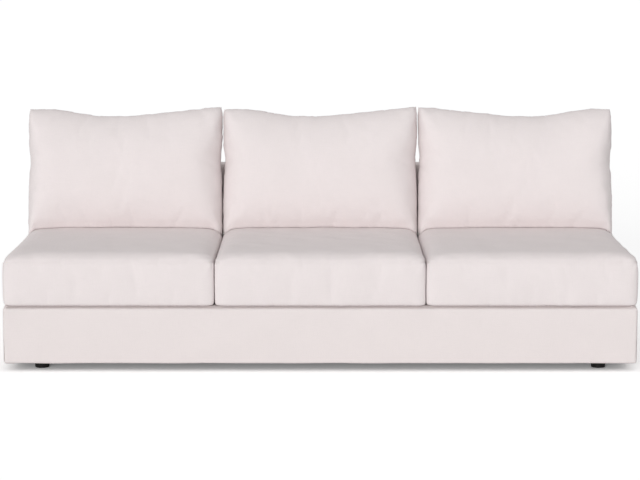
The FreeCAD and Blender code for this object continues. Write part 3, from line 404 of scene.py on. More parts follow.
def makeWood(name, light, dark, along):
    material, nodes, shader, places = newMaterial(name, "Object")
    grain = useGroup(nodes, grainGroup, Vector=places, Along=along)
    wear = useGroup(nodes, wearGroup, Vector=places, Size=0.06)
    base = nodes.mix(grain["Ring"], light, dark)
    base = nodes.mix(nodes.math("MULTIPLY", grain["Fibre"], 0.4), base, dark)
    nodes.put(nodes.mix(nodes.math("MULTIPLY", wear["Marks"], 0.3), base, (0.33, 0.23, 0.13)),
              shader.inputs["Base Color"])
    nodes.put(nodes.range(grain["Fibre"], 0.3, 0.7, 0.62, 0.85), shader.inputs["Roughness"])
    setBump(nodes, shader, grain["Height"], 0.0004)
    return material


steelLooks = {
    "oiledSteel": dict(colour=(0.33, 0.33, 0.34), stain=(0.14, 0.12, 0.10), low=0.28, high=0.5),
    "zincSteel": dict(colour=(0.66, 0.64, 0.58), stain=(0.45, 0.42, 0.36), low=0.25, high=0.45),
    "nickel": dict(colour=(0.72, 0.70, 0.68), stain=(0.52, 0.50, 0.48), low=0.2, high=0.36),
}


def makeSteel(name, colour, stain, low, high):
    material, nodes, shader, places = newMaterial(name, "Object")
    wear = useGroup(nodes, wearGroup, Vector=places, Size=0.012)
    drawn = useGroup(nodes, drawnGroup, Vector=places)["Height"]
    nodes.put(nodes.mix(wear["Marks"], colour, stain), shader.inputs["Base Color"])
    nodes.put(nodes.range(drawn, 0.35, 0.65, low, high), shader.inputs["Roughness"])
    shader.inputs["Metallic"].default_value = 1.0
    setBump(nodes, shader, drawn, 0.0001)
    return material


plasticLooks = {
    "blackPlastic": dict(colour=(0.010, 0.009, 0.009), worn=(0.04, 0.04, 0.041), rough=0.55, grain=0.00012,
                         gloss=0.2),
    "whitePlastic": dict(colour=(0.82, 0.82, 0.80), worn=(0.68, 0.67, 0.64), rough=0.38, grain=0.00006,
                         gloss=0.5),
}


def makePlastic(name, colour, worn, rough, grain, gloss):
    material, nodes, shader, places = newMaterial(name, "Object")
    wear = useGroup(nodes, wearGroup, Vector=places, Size=0.015)
    nodes.put(nodes.mix(wear["Edge"], colour, worn), shader.inputs["Base Color"])
    nodes.put(nodes.range(wear["Marks"], 0.0, 1.0, rough, rough + 0.2), shader.inputs["Roughness"])
    shader.inputs["Specular IOR Level"].default_value = gloss
    setBump(nodes, shader, useGroup(nodes, mouldedGroup, Vector=places)["Height"], grain)
    return material


def makeFibreboard():
    material, nodes, shader, places = newMaterial("hardboard", "Object")
    flecks = nodes.noise(places, 700.0, 3.0, 0.7)
    clouds = useGroup(nodes, wearGroup, Vector=places, Size=0.09)
    base = nodes.mix(flecks, (0.33, 0.20, 0.11), (0.20, 0.12, 0.065))
    nodes.put(nodes.mix(clouds["Marks"], base, (0.26, 0.165, 0.095)), shader.inputs["Base Color"])
    nodes.put(nodes.range(flecks, 0.3, 0.7, 0.45, 0.7), shader.inputs["Roughness"])
    setBump(nodes, shader, flecks, 0.0002)
    return material


def makeFeltCloth():
    # nonwoven dust cloth with its grid of bonded dots
    material, nodes, shader, places = newMaterial("bondedCloth", "UV")
    dots = nodes.add("ShaderNodeTexVoronoi", Vector=places, Scale=520.0, Randomness=0.15)
    fibres = nodes.noise(places, 1500.0, 3.0, 0.7)
    nodes.put(nodes.mix(fibres, (0.013, 0.013, 0.014), (0.035, 0.035, 0.037)), shader.inputs["Base Color"])
    nodes.put(nodes.range(fibres, 0.3, 0.7, 0.75, 0.95), shader.inputs["Roughness"])
    setBump(nodes, shader, nodes.math("ADD", dots.outputs["Distance"], fibres), 0.0002)
    return material


def makeWebbingCloth():
    # ribbed elastic with two paler lines along each edge
    material, nodes, shader, places = newMaterial("ribbedElastic", "Object")
    parts = nodes.add("ShaderNodeSeparateXYZ", Vector=places).outputs
    ribs = nodes.math("SINE", nodes.math("MULTIPLY", parts[0], 3100.0))
    fuzz = nodes.noise(places, 900.0)
    lines = nodes.math("ABSOLUTE", nodes.math("SINE", nodes.math("MULTIPLY", parts[2], math.pi / 0.0085)))
    stripe = nodes.range(lines, 0.2, 0.05)
    base = nodes.mix(fuzz, (0.035, 0.035, 0.038), (0.07, 0.07, 0.075))
    nodes.put(nodes.mix(nodes.math("MULTIPLY", stripe, 0.5), base, (0.25, 0.25, 0.26)),
              shader.inputs["Base Color"])
    nodes.put(nodes.range(fuzz, 0.3, 0.7, 0.7, 0.9), shader.inputs["Roughness"])
    setBump(nodes, shader, ribs, 0.0002)
    return material


def makeFoam(name, colour, cell):
    material, nodes, shader, places = newMaterial(name, "Object")
    cells = useGroup(nodes, cellGroup, Vector=places, Cell=cell)
    darker = [0.8 * part for part in colour]
    # painted shade: the pores in the middles of the cells, where the height is lowest, are coloured darker
    nodes.put(nodes.mix(nodes.range(cells["Height"], 0.0, 0.8), darker, colour), shader.inputs["Base Color"])
    nodes.put(nodes.range(cells["Clouds"], 0.0, 1.0, 0.85, 1.0), shader.inputs["Roughness"])
    setBump(nodes, shader, cells["Height"], cell * 0.5)
    return material


materials = {}
for make, looks in ((makeCloth, clothLooks), (makeWood, woodLooks), (makeSteel, steelLooks),
                    (makePlastic, plasticLooks)):
    for name, look in looks.items():
        materials[name] = make(name, **look)
materials["hardboard"] = makeFibreboard()
materials["bondedCloth"] = makeFeltCloth()
materials["ribbedElastic"] = makeWebbingCloth()
materials["foam"] = makeFoam("foam", (0.84, 0.77, 0.56), 0.0012)
materials["fibreFill"] = makeFoam("fibreFill", (0.88, 0.88, 0.86), 0.004)

nodeFinish = {
    "pine": ("front_rail", "rear_rail", "spring_rail", "foot_blocks", "back_top_rail", "back_lower_rail"),
    "pineUpright": ("outer_back_posts", "inner_back_posts"),
    "pineDeep": ("left_end_rail", "right_end_rail", "seat_stretchers"),
    "hardboard": ("back_board",),
    "oiledSteel": ("seat_springs", "spring_tie_wires"),
    "zincSteel": ("frame_screws", "foot_screws"),
    "whitePlastic": ("spring_clips",),
    "blackPlastic": ("front_left_foot", "front_right_foot", "rear_left_foot", "rear_right_foot",
                     "centre_feet"),
    "jute": ("burlap",),
    "ribbedElastic": ("back_webbing",),
}
for finish, names in nodeFinish.items():
    for node in names:
        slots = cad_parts[node].data.materials
        slots.clear()
        slots.append(materials[finish])
print("materials made")


# Upholstery of the base and back: each panel is a skin of cloth laid over the frame.

panelLook = dict(cell=0.0125, skin=0.0018, groove=0.0024, grooveWidth=0.0045, pucker=0.0007, puckerRun=0.03,
                 puckerLength=0.028, wave=0.0007, waveLength=0.22, crown=0.0022, tuck=0.019, step=0.003)


def laidOut(x, y, z):
    # a grid of points from places that are given by row, by column or by both
    return np.stack(np.broadcast_arrays(x, y, z), axis=-1).astype(float)


def runLength(points):
    # distance along a run of points, from its start
    return np.concatenate([[0], np.cumsum(np.linalg.norm(np.diff(points, axis=0), axis=1))])


def layPanel(name, grid, thickness, node, slot="base_fabric", cloth="baseCloth"):
    # one padded panel of the fixed upholstery, in place of its solid
    piece = makePiece(name, *thickSheet(grid, thickness), "frame", slot, materials[cloth], (node,))


def sewPanel(grid, seed, seams="", face=None, look=panelLook, crown=None):
    # lifts a panel's face a little, and draws it in and puckers it along its seams
    # seams name the grid's edges: a and b end its rows, c and d its columns
    normals = gridNormals(grid)
    rowRun = runLength(grid[:, grid.shape[1] // 2])
    columnRun = runLength(grid[grid.shape[0] // 2])
    face = (columnRun[0], columnRun[-1]) if face is None else face
    rowShare = rowRun / rowRun[-1]
    columnShare = np.clip((columnRun - face[0]) / (face[1] - face[0]), 0, 1)
    bow = np.outer(1 - (2 * rowShare - 1) ** 6, 1 - (2 * columnShare - 1) ** 2)
    places = np.stack(np.meshgrid(rowRun, columnRun, indexing="ij"), axis=-1)
    flat = places.reshape(-1, 2)
    shape = grid.shape[:2]
    onFace = bow > 0
    lift = (look["crown"] if crown is None else crown) * bow
    lift += look["wave"] * ripple(flat, look["waveLength"], seed).reshape(shape) * onFace
    edges = {"a": places[..., 0], "b": rowRun[-1] - places[..., 0],
             "c": places[..., 1] - columnRun[0], "d": columnRun[-1] - places[..., 1]}
    for turn, name in enumerate(seams):
        away = edges[name]
        along = places[..., 1] if name in "ab" else places[..., 0]
        gathers = ripple(along.reshape(-1, 1), look["puckerLength"], seed + 5 + turn).reshape(shape)
        lift -= look["groove"] * np.exp(-(away / look["grooveWidth"]) ** 2)
        fade = np.exp(-away / look["puckerRun"]) * (1 - np.exp(-away / look["step"]))
        lift += look["pucker"] * gathers * fade
    return grid + normals * lift[..., None]


def arcRun(centre, radius, start, end, steps):
    # points on an arc in a plane; angles in degrees
    angles = np.radians(np.linspace(start, end, steps + 1))
    return [(centre[0] + radius * math.cos(a), centre[1] + radius * math.sin(a)) for a in angles]


def subdivideRun(points, cell):
    # the same run with long straight stretches cut into cells
    run = [points[0]]
    for start, end in zip(points, points[1:]):
        count = max(1, round(math.dist(start, end) / cell))
        for step in range(1, count + 1):
            run.append(tuple(a + (b - a) * step / count for a, b in zip(start, end)))
    return np.array(run)


railFront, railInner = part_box("front_rail")[0].y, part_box("front_rail")[1].y
frontLow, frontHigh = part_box("front_cover")
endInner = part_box("right_end_cover")[0].x
backLow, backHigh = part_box("inside_back_cover")
rearLow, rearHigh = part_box("outside_back_cover")
deckLow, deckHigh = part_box("deck_cover")
halfBase, halfFrame = frontHigh.x + 0.0025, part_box("front_rail")[1].x
baseBottom, deckEdge, frontSlope = frontLow.z - 0.0012, frontHigh.z, 0.009
backSlope = 0.040 / (backHigh.z - deckEdge)          # the inside back leans 40 mm rearwards


def backFace(level):
    # the inside back's place in the depth at a level
    return backLow.y + backSlope * np.maximum(level - deckEdge, 0)


def makeFront():
    # the run goes from under the front rail, up the face and over the soft edge to the deck
    radius, upper, lip = 0.0075, 0.0118, deckEdge - frontSlope
    y, z0, z1 = frontLow.y, baseBottom, deckEdge
    run = [(railInner, z0), (railFront, z0)]
    run += arcRun((y + radius, z0 + radius), radius, 270, 180, 5)
    run += arcRun((y + upper, lip - upper), upper, 180, 90, 6)
    run += [(railFront, lip), (railInner - 0.004, z1), (railInner - 0.0008, z1 - 0.003),
            (railInner, z1 - panelLook["tuck"])]
    run = subdivideRun(run, panelLook["cell"])
    stations = spread(-halfBase, halfBase, panelLook["cell"], (0.0, 0.0003, 0.0015, 0.0038, 0.0068, 0.0108))
    bend = np.clip(1 - (halfBase - 0.0003 - np.abs(stations)) / radius, 0, 1)
    depth = (railFront - y) - radius * (1 - np.sqrt(1 - bend ** 2))
    depth[[0, -1]] = 0.0
    onFace = run[:, 0] < railFront - 1e-6
    share = np.clip((railFront - run[:, 0]) / (railFront - y), 0, 1)
    grid = laidOut(stations[:, None] * np.where(onFace, 1.0, (halfFrame - 0.0006) / halfBase),
                   np.where(onFace, railFront - depth[:, None] * share, run[:, 0]), run[:, 1])
    length = runLength(run)
    faceRun = (length[np.argmax(onFace)], length[len(run) - 1 - np.argmax(onFace[::-1])])
    grid = sewPanel(grid, 11, "ab", face=faceRun, look={**panelLook, "groove": 0.0007})
    layPanel("front_panel", grid, panelLook["skin"], "front_cover")


def makeEnd(side):
    # the run goes from under the end rail, up the outside and over the soft edge to the deck
    sign = 1 if side == "right" else -1
    radius, upper = 0.009, 0.0118
    run = [(endInner, baseBottom), (halfFrame, baseBottom)]
    run += arcRun((halfBase - radius, baseBottom + radius), radius, 270, 360, 5)
    run += arcRun((halfBase - upper, deckEdge - upper), upper, 0, 90, 6)
    run += [(halfFrame, deckEdge), (endInner + 0.004, deckEdge), (endInner + 0.0008, deckEdge - 0.003),
            (endInner, deckEdge - panelLook["tuck"])]
    run = subdivideRun(run, panelLook["cell"])
    stations = spread(railFront, rearLow.y, panelLook["cell"], (0.0002, 0.004, 0.009))
    # the return over the soft edge ends where the inside back begins
    inReturn = run[:, 0] < halfFrame - 1e-6
    squeeze = (backLow.y - 0.001 - railInner) / (stations[-1] - stations[0])
    returned = railInner + 0.0006 + (stations - stations[0]) * squeeze
    onTop = inReturn & (run[:, 1] > 0.1)
    grid = laidOut(sign * run[:, 0], np.where(onTop, returned[:, None], stations[:, None]), run[:, 1])
    # its front end drops to meet the front panel's sloping top
    towards = np.clip((railInner - grid[..., 1]) / (railInner - railFront), 0, 1)
    grid[..., 2] -= frontSlope * towards * smooth((grid[..., 2] - 0.19) / 0.035)
    if sign > 0:
        grid = grid[:, ::-1]
    grid = sewPanel(grid, 21 + sign, "ab", look={**panelLook, "groove": 0.0006})
    layPanel(f"{side}_end_panel", grid, panelLook["skin"], f"{side}_end_cover")


def makeInsideBack():
    # from the deck up the raked face, over the rounded top edge and back to the rear board
    radius, z1, yTop = 0.02, backHigh.z, float(backFace(backHigh.z))
    run = [(backLow.y, backLow.z + 0.012), (backLow.y, deckEdge), (float(backFace(z1 - radius)), z1 - radius)]
    run += arcRun((yTop + radius, z1 - radius), radius, 168, 90, 6)
    run += [(backHigh.y, z1)]
    run = subdivideRun(run, panelLook["cell"])
    stations = spread(-halfFrame, halfFrame, 0.014, (0.0002, 0.004, 0.009))
    grid = sewPanel(laidOut(stations[:, None], run[:, 0], run[:, 1]), 31, "abd", crown=0.0)
    layPanel("inside_back_panel", grid, panelLook["skin"], "inside_back_cover")
    within = grid - gridNormals(grid) * 0.0026
    within[..., 0] *= 1 - 0.004 / halfFrame
    layPanel("inside_back_foam", within, 0.017, "back_pad", "foam", "foam")


def makeBackSide(side):
    # one end of the back: rows run up, columns run from its front edge to its rear edge
    sign = 1 if side == "right" else -1
    radius, lip = 0.02, 0.004
    levels = spread(deckEdge + 0.0006, backHigh.z, panelLook["cell"], (0.0, 0.003, 0.007))
    shares = spread(0.0, 1.0, 0.085, (0.0, 0.02, 0.05))
    grid = np.zeros((len(levels), len(shares), 3))
    for row, level in enumerate(levels):
        near = float(backFace(level))
        drop = max(0.0, level - (backHigh.z - radius))
        near += radius - math.sqrt(max(radius ** 2 - drop ** 2, 0.0))
        grid[row, :, 1] = near + (rearLow.y - near) * shares
        grid[row, :, 2] = level
    fromEdge = np.minimum(grid[..., 1] - backFace(grid[..., 2]), backHigh.z - grid[..., 2])
    inward = lip * (1 - np.sqrt(1 - np.clip(1 - fromEdge / lip, 0, 1) ** 2))
    grid[..., 0] = sign * (halfBase - inward)
    if sign > 0:
        grid = grid[:, ::-1]
    grid = sewPanel(grid, 41 + sign, "bcd")
    layPanel(f"{side}_back_end_panel", grid, halfBase - halfFrame + 0.0005, f"{side}_back_cover")


def makeOutsideBack():
    radius = 0.004
    y, z0, z1 = rearHigh.y, rearLow.z, rearHigh.z
    run = [(rearLow.y, z1)]
    run += arcRun((y - radius, z1 - radius), radius, 90, 0, 3)
    run += arcRun((y - radius, z0 + radius), radius, 0, -90, 3)
    run += [(rearLow.y, z0)]
    run = subdivideRun(run, 0.0165)
    stations = spread(-halfBase, halfBase, 0.0165, (0.0, 0.0015, 0.004, 0.009))
    ends = np.clip(1 - (halfBase - np.abs(stations)) / radius, 0, 1)
    depth = (y - rearLow.y) - radius * (1 - np.sqrt(1 - ends ** 2))
    share = (run[:, 0] - rearLow.y) / (y - rearLow.y)
    grid = laidOut(stations[:, None], rearLow.y + depth[:, None] * share, run[:, 1])
    look = {**panelLook, "wave": 0.0012, "waveLength": 0.3, "groove": 0.0012}
    layPanel("outside_back_panel", sewPanel(grid, 51, "abcd", look=look, crown=0.0015), 0.0016,
             "outside_back_cover")


deckLook = dict(rise=0.017, springPitch=0.1405, sink=0.0012, wear=0.0008, wearLength=0.16)


def deckGrid(drop, cell, inset):
    xs = spread(-endInner + inset, endInner - inset, cell)
    ys = spread(deckLow.y + inset, deckHigh.y - 0.0005, cell)
    x, y = np.meshgrid(xs, ys, indexing="ij")
    share = (2 * y - deckLow.y - deckHigh.y) / (deckHigh.y - deckLow.y)
    look = deckLook
    z = deckHigh.z - look["rise"] * share ** 2 - drop
    flat = np.stack([x, y], axis=-1).reshape(-1, 2)
    # the cloth sinks a little between the springs and where each seat is used
    used = 0.5 - 0.5 * np.cos(2 * math.pi * (x / look["springPitch"]))
    z -= look["sink"] * used + look["wear"] * (1 + ripple(flat, look["wearLength"], 61).reshape(z.shape))
    return np.stack([x, y, z], axis=-1)


def makeDeck():
    layPanel("deck_lining", deckGrid(0.0, 0.016, 0.0026), 0.0016, "deck_cover", "deck_fabric",
             "deckLining")
    layPanel("deck_padding", deckGrid(0.0024, 0.03, 0.003), 0.0075, "deck_pad", "foam", "foam")


def swept(rings):
    # a closed solid through rings of points, with both its ends capped
    size, last = len(rings[0]), len(rings) - 1
    cells = []
    for step in range(last):
        for k in range(size):
            a, b = step * size + k, step * size + (k + 1) % size
            cells.append((a, b, b + size, a + size))
    cells += [tuple(reversed(range(size))), tuple(range(last * size, last * size + size))]
    return np.array(rings).reshape(-1, 3), cells


def rollPart(start, end, across, length):
    # a soft edge: a D shape swept along a rail, from its floor up to just under the cloth
    low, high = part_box("edge_rolls")
    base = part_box("front_rail")[1].z + 0.0075
    height, wide = high.z - 0.0084 - base, 0.0205
    turn = np.radians(np.linspace(0, 180, 11))
    profile = [(wide / 2 * math.cos(a), base + height * (0.45 + 0.55 * math.sin(a))) for a in turn]
    profile = [(wide / 2, base), *profile, (-wide / 2, base)]
    count = max(2, round(length / 0.05))
    rings = []
    for step in range(count + 1):
        centre = start + (end - start) * step / count
        rings.append([(centre[0] + across[0] * a, centre[1] + across[1] * a, z) for a, z in profile])
    return swept(rings)


def makeEdgeRolls():
    railMiddle = (railFront + railInner) / 2
    endMiddle = (endInner + halfFrame) / 2
    tip = halfFrame - 0.003
    parts = [rollPart(np.array([-tip, railMiddle]), np.array([tip, railMiddle]), (0, 1), 2 * halfFrame)]
    for sign in (-1, 1):
        parts.append(rollPart(np.array([sign * endMiddle, railInner + 0.004]),
                              np.array([sign * endMiddle, backLow.y - 0.004]), (sign, 0), 0.77))
    piece = makePiece("soft_edge_rolls", *joined(parts), "frame", "foam", materials["foam"], ("edge_rolls",))


stapleLook = dict(spacing=0.05, crown=0.0105, wire=0.0011, inset=0.012)


def makeDustCloth():
    # black cloth stapled under the frame, sagging a little between its edges
    low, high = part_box("dust_cover")
    xs, ys = spread(low.x, high.x, 0.03), spread(low.y, high.y, 0.03)
    x, y = np.meshgrid(xs, ys, indexing="ij")
    flat = np.stack([x, y], axis=-1).reshape(-1, 2)
    edge = np.minimum(np.minimum(x - low.x, high.x - x), np.minimum(y - low.y, high.y - y))
    z = (low.z + high.z) / 2 + 0.0004 + 0.0003 * ripple(flat, 0.2, 71).reshape(x.shape)
    z -= 0.0008 * smooth(edge / 0.1)
    grid = np.stack([x, y, z], axis=-1)
    cells = [tuple(reversed(cell)) for cell in gridCells(*x.shape)]
    cloth = makePiece("underside_cloth", grid.reshape(-1, 3), cells, "frame", "dust_cloth",
                      materials["bondedCloth"], ("dust_cover",))
    wide, deep = high.x - low.x, high.y - low.y
    parts = []
    inset = stapleLook["inset"]
    for across, up, length, level in (((1, 0), (0, 1), wide, high.y), ((0, 1), (1, 0), deep, high.x)):
        count = int((length - 2 * inset) / stapleLook["spacing"])
        for side in (-1, 1):
            for step in range(count + 1):
                along = -length / 2 + inset + (length - 2 * inset) * step / count
                place = np.array(across) * along + np.array(up) * side * (level - inset)
                parts.append(stapleAt(place, across, low.z + 0.0002))
    makePiece("underside_staples", *joined(parts), "frame", "screw_steel", materials["zincSteel"])


def stapleAt(place, along, level):
    # a wire crown with rounded shoulders that rise into the cloth
    half, thick = stapleLook["crown"] / 2, stapleLook["wire"]
    path = [(-half, thick * 1.4), (-half, 0.0), (-half + thick, -thick * 0.7), (half - thick, -thick * 0.7),
            (half, 0.0), (half, thick * 1.4)]
    return swept([[(place[0] + along[0] * a + along[1] * side * thick / 2,
                    place[1] + along[1] * a + along[0] * side * thick / 2, level + z + rise * thick / 3)
                   for side, rise in ((-1, -1), (1, -1), (1, 1), (-1, 1))] for a, z in path])


makeFront()
for endName in endNames:
    makeEnd(endName)
    makeBackSide(endName)
makeInsideBack()
makeOutsideBack()
makeDeck()
makeEdgeRolls()
makeDustCloth()
print("base and back upholstered")


# Loose cushions: a closed form each, filled by cloth simulation, then seamed and puckered.

seatLook = dict(boxing=0.152, rounding=0.0125, bow=0.0028, drop=0.032, reach=0.045, crown=0.004,
                crownReach=0.215, corner=0.024, rearShare=0.4, cell=0.0125, shrink=0.0006, uneven=0.0012,
                unevenLength=0.11, move=0.0045, gain=0.4, fold=0.0030, foldReach=0.032, foldStart=0.014,
                sag=0.0035, sagReach=0.07, outerBulge=0.004, seamPin=0.92, cornerPin=0.35,
                seamDepth=0.0036, seamWidth=0.005, pucker=0.0019, puckerLength=0.034, puckerRun=0.022)
seatLow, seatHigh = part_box("middle_seat_cover")
seatHalf = seatHigh.x


def quarter(share):
    # a quarter round: 0 at 0, and 1 from 1 on
    return np.sqrt(1 - np.clip(1 - share, 0, 1) ** 2)


def seatTop(inset):
    # height of the seat's top above its underside at a distance in from its edge
    shoulder = quarter(inset / seatLook["reach"])
    crown = 1 - np.clip(1 - inset / seatLook["crownReach"], 0, 1) ** 2
    return seatLook["boxing"] + seatLook["drop"] * shoulder + seatLook["crown"] * crown


def roundedInset(fromX, fromY, corner, growth):
    # distance in from a rectangle whose corner radius grows with that distance
    low, high = np.full(fromX.shape, -0.03), np.minimum(fromX, fromY)
    for _ in range(26):
        middle = (low + high) / 2
        radius = np.maximum(corner + growth * middle, 0.002)
        centre = middle + radius
        reached = np.hypot(np.maximum(centre - fromX, 0), np.maximum(centre - fromY, 0)) > radius
        high = np.where(reached, middle, high)
        low = np.where(reached, low, middle)
    return (low + high) / 2


def seatInset(x, y):
    # x from the cushion's middle, y in the sofa's frame
    rear = (seatHigh.y - y) / seatLook["rearShare"]
    return roundedInset(seatHalf - np.abs(x), np.minimum(y - seatLow.y, rear), seatLook["corner"], 0.5)


def seatForm():
    # lattice of one seat cushion about its own middle, with the rows where its seams run
    look = seatLook
    rows = [(0.0, 0.0135), (0.0014, 0.0074), (0.0054, 0.0024), (look["rounding"], 0.0)]
    rows += [(z, 0.0) for z in spread(look["rounding"], look["boxing"] - 0.004, 0.0125)[1:]]
    seamRow = len(rows)
    for angle in (12, 30, 50):
        turn = math.radians(angle)
        rows.append((look["boxing"] + look["drop"] * math.sin(turn), look["reach"] * (1 - math.cos(turn))))
    first = rows[-1][1]
    firm = (0.0, 0.011, 0.024, 0.038)
    xs = spread(-seatHalf + first, seatHalf - first, look["cell"], firm)
    front, rear = seatLow.y + first, seatHigh.y - first * look["rearShare"]
    ys = spread(front, rear, look["cell"], firm)
    nx, ny, nz = len(xs) - 1, len(ys) - 1, len(rows) - 1
    lattice, cells = boxCells(nx, ny, nz)
    i, j, k = lattice.T
    heights = np.array([row[0] for row in rows])[k]
    inset = np.array([row[1] for row in rows])[k]
    sideInset = np.where(k <= 2, 0.4, 1.0) * inset
    x = xs[i] * (seatHalf - sideInset) / (seatHalf - first)
    middle = (seatLow.y + seatHigh.y) / 2
    ahead = (middle - (seatLow.y + inset)) / (middle - front)
    behind = (seatHigh.y - inset * look["rearShare"] - middle) / (rear - middle)
    y = middle + (ys[j] - middle) * np.where(ys[j] < middle, ahead, behind)
    # round the upright corners of each row
    radius = look["corner"] + inset / 2
    cornerX = seatHalf - sideInset - radius
    lowY, highY = seatLow.y + inset + radius, seatHigh.y - inset * look["rearShare"] - radius
    overX = np.maximum(np.abs(x) - cornerX, 0)
    overY = np.maximum(y - highY, 0) - np.maximum(lowY - y, 0)
    onSide = (i == 0) | (i == nx) | (j == 0) | (j == ny)
    inCorner = onSide & (overX > 0) & (overY != 0)
    length = np.maximum(np.hypot(overX, overY), 1e-9)
    x = np.where(inCorner, np.sign(x) * (cornerX + overX / length * radius), x)
    y = np.where(inCorner, np.where(overY > 0, highY, lowY) + overY / length * radius, y)
    onTop = (k == nz) & ~onSide
    z = np.where(onTop, seatTop(seatInset(x, y)), heights)
    points = np.stack([x, y, seatLow.z + z], axis=-1)
    onSeam = onSide & ((k == seamRow) | (k == 1))
    upright = onSide & (np.abs(np.abs(x) - np.abs(x).max()) < 0.03) & ((j == 0) | (j == ny))
    pins = np.where(k == 0, 1.0, 0.0)
    pins = np.maximum(pins, np.where(onSeam, look["seamPin"], 0.0))
    pins = np.maximum(pins, np.where(upright & (k <= seamRow), look["cornerPin"], 0.0))
    return points, cells, onSeam, pins


backLook = dict(lean=math.radians(10), tall=0.4905, front=0.112, rear=0.092, side=0.06, beside=0.11,
                rearSide=0.045, reach=0.088, top=(0.05, 0.05, 0.2), bottom=(0.05, 0.02, 0.15), share=0.88,
                crownReach=1.9, corner=0.12, cornerGrowth=0.45, sidePower=2.2, besidePower=1.9, dip=0.027,
                earDrop=0.008, dipStart=0.12, dipLow=0.38, dipEnd=0.49, seamLift=0.0052, sit=0.13, level=0.8,
                levelDip=0.3, levelWide=0.1, settle=0.016, clear=0.0008, bulge=0.7, overZip=0.0015,
                cell=0.0125, plump=0.95, move=0.024, gain=0.5, seamPin=0.97, uneven=0.02, unevenLength=0.2, seamDepth=0.0,
                seamWidth=0.004, pucker=0.0022, puckerLength=0.036, puckerRun=0.032, wander=0.0018,
                earWander=0.9, earReach=0.09,
                drawHeights=(0.0, 0.1, 0.3, 0.46, 0.54, 0.62, 0.67, 0.71, 0.9, 0.95, 1.0),
                drawIn=(0.0002, -0.0006, -0.0006, 0.0020, 0.0062, 0.0060, 0.0034, 0.0006, 0.0, 0.0010, 0.004))
cushionLow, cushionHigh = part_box("middle_back_cushion_cover")
backHalf, backTall = cushionHigh.x, backLook["tall"]


def seatRise(x):
    # how far the seat's top lies above its height under a back cushion's ear
    ear = backHalf - backLook["corner"]
    place = seatHigh.y - seatLook["rearShare"] * ear
    levels = seatTop(seatInset(np.array([*np.atleast_1d(x), ear]), np.full(np.size(x) + 1, place)))
    return levels[:-1] - levels[-1]


def topEdge(x):
    # the seam's upper edge: a high ear on the right, a dip, and a lower ear on the left
    look = backLook
    low = backTall - look["earDrop"]
    bottom = low - look["dip"]
    place = 0.5 + x / backHalf / 2
    rightShare = np.clip((place - look["dipEnd"]) / (1 - look["dipEnd"]), 0, 1)
    leftShare = np.clip((look["dipLow"] - place) / (look["dipLow"] - look["dipStart"]), 0, 1)
    right = (backTall - bottom) * (0.6 * rightShare + 0.4 * smooth(rightShare))
    left = (low - bottom) * (0.35 * leftShare + 0.65 * smooth(leftShare))
    return bottom + right + left


def softEdge(distance, shape):
    # distance in from an edge as a share of a shoulder: a tight round, then a slower belly
    tightShare, tight, belly = shape
    full = tightShare * quarter(distance / tight) + (1 - tightShare) * quarter(distance / belly)
    return 1 - np.sqrt(1 - full ** 2) + np.maximum(distance - belly, 0) / backLook["reach"]


def backForm(atEnd):
    # two panels that share one seam, about the lower seam's middle, before the cushion leans
    look = backLook
    edge = (0.0, 0.004, 0.011, 0.021)
    us = spread(-backHalf, backHalf, look["cell"], edge) / backHalf
    vs = spread(0.0, backTall, look["cell"], edge) / backTall
    u, v = np.meshgrid(us, vs, indexing="ij")
    sideDraw = np.interp(v, look["drawHeights"], look["drawIn"])
    x = u * (backHalf - sideDraw)
    bottom = seatRise(x.ravel()).reshape(x.shape) / math.cos(look["lean"])
    bottom += look["seamLift"] * (np.abs(x) < backHalf - 0.03)
    z = bottom + (topEdge(x) - bottom) * v
    rim = np.zeros(x.shape, bool)
    rim[[0, -1], :] = True
    rim[:, [0, -1]] = True
    toSeam = np.maximum(backHalf - sideDraw - np.abs(x), 0)
    toEnd = np.minimum(softEdge(z - bottom, look["bottom"]), softEdge(topEdge(x) - z, look["top"]))

    def fullness(toSide):
        inset = np.maximum(roundedInset(toSide, toEnd, look["corner"], look["cornerGrowth"]), 0)
        crown = 1 - np.clip(1 - inset / look["crownReach"], 0, 1) ** 2
        return np.where(rim, 0.0, look["share"] * quarter(inset) + (1 - look["share"]) * crown)

    # the front closes slowly towards a neighbour, and fast at the sofa's end, and so does the rear
    outer = atEnd & (x < 0)
    side = np.where(outer, look["side"], look["beside"])
    power = np.where(outer, look["sidePower"], look["besidePower"])
    ahead = fullness(1 - np.sqrt(1 - quarter(np.minimum(toSeam / side, 1)) ** power)
                     + np.maximum(toSeam - side, 0) / look["reach"])
    behind = fullness(toSeam / look["rearSide"])
    panels, index, points = [], {}, []
    for side, full in ((-1, look["front"] * ahead), (1, look["rear"] * behind)):
        places = np.stack([x, side * full, z], axis=-1)
        ids = np.zeros(x.shape, int)
        for place in np.ndindex(x.shape):
            key = place if rim[place] else (side, *place)
            if key not in index:
                index[key] = len(points)
                points.append(places[place])
            ids[place] = index[key]
        panels.append(ids)
    cells = []
    for side, ids in zip((-1, 1), panels):
        for a in range(ids.shape[0] - 1):
            for b in range(ids.shape[1] - 1):
                cell = (ids[a, b], ids[a + 1, b], ids[a + 1, b + 1], ids[a, b + 1])
                cells.append(tuple(int(c) for c in (cell if side < 0 else reversed(cell))))
    onSeam = np.zeros(len(points), bool)
    onSeam[[index[key] for key in index if len(key) == 2]] = True
    return np.array(points), cells, onSeam


def leaned(points):
    # tips the form back, with its lowest part pressed level by the seat
    look = backLook
    lean = look["lean"]
    x, y, z = points.T
    level = look["level"] - look["levelDip"] * np.exp(-(x / look["levelWide"]) ** 2)
    level *= smooth(1 - z / look["sit"])
    return np.stack([x, y * math.cos(lean) + z * math.sin(lean),
                     z * math.cos(lean) - y * math.sin(lean) * (1 - level)], axis=-1)


coreInset = 0.006           # from a cushion's case to its core


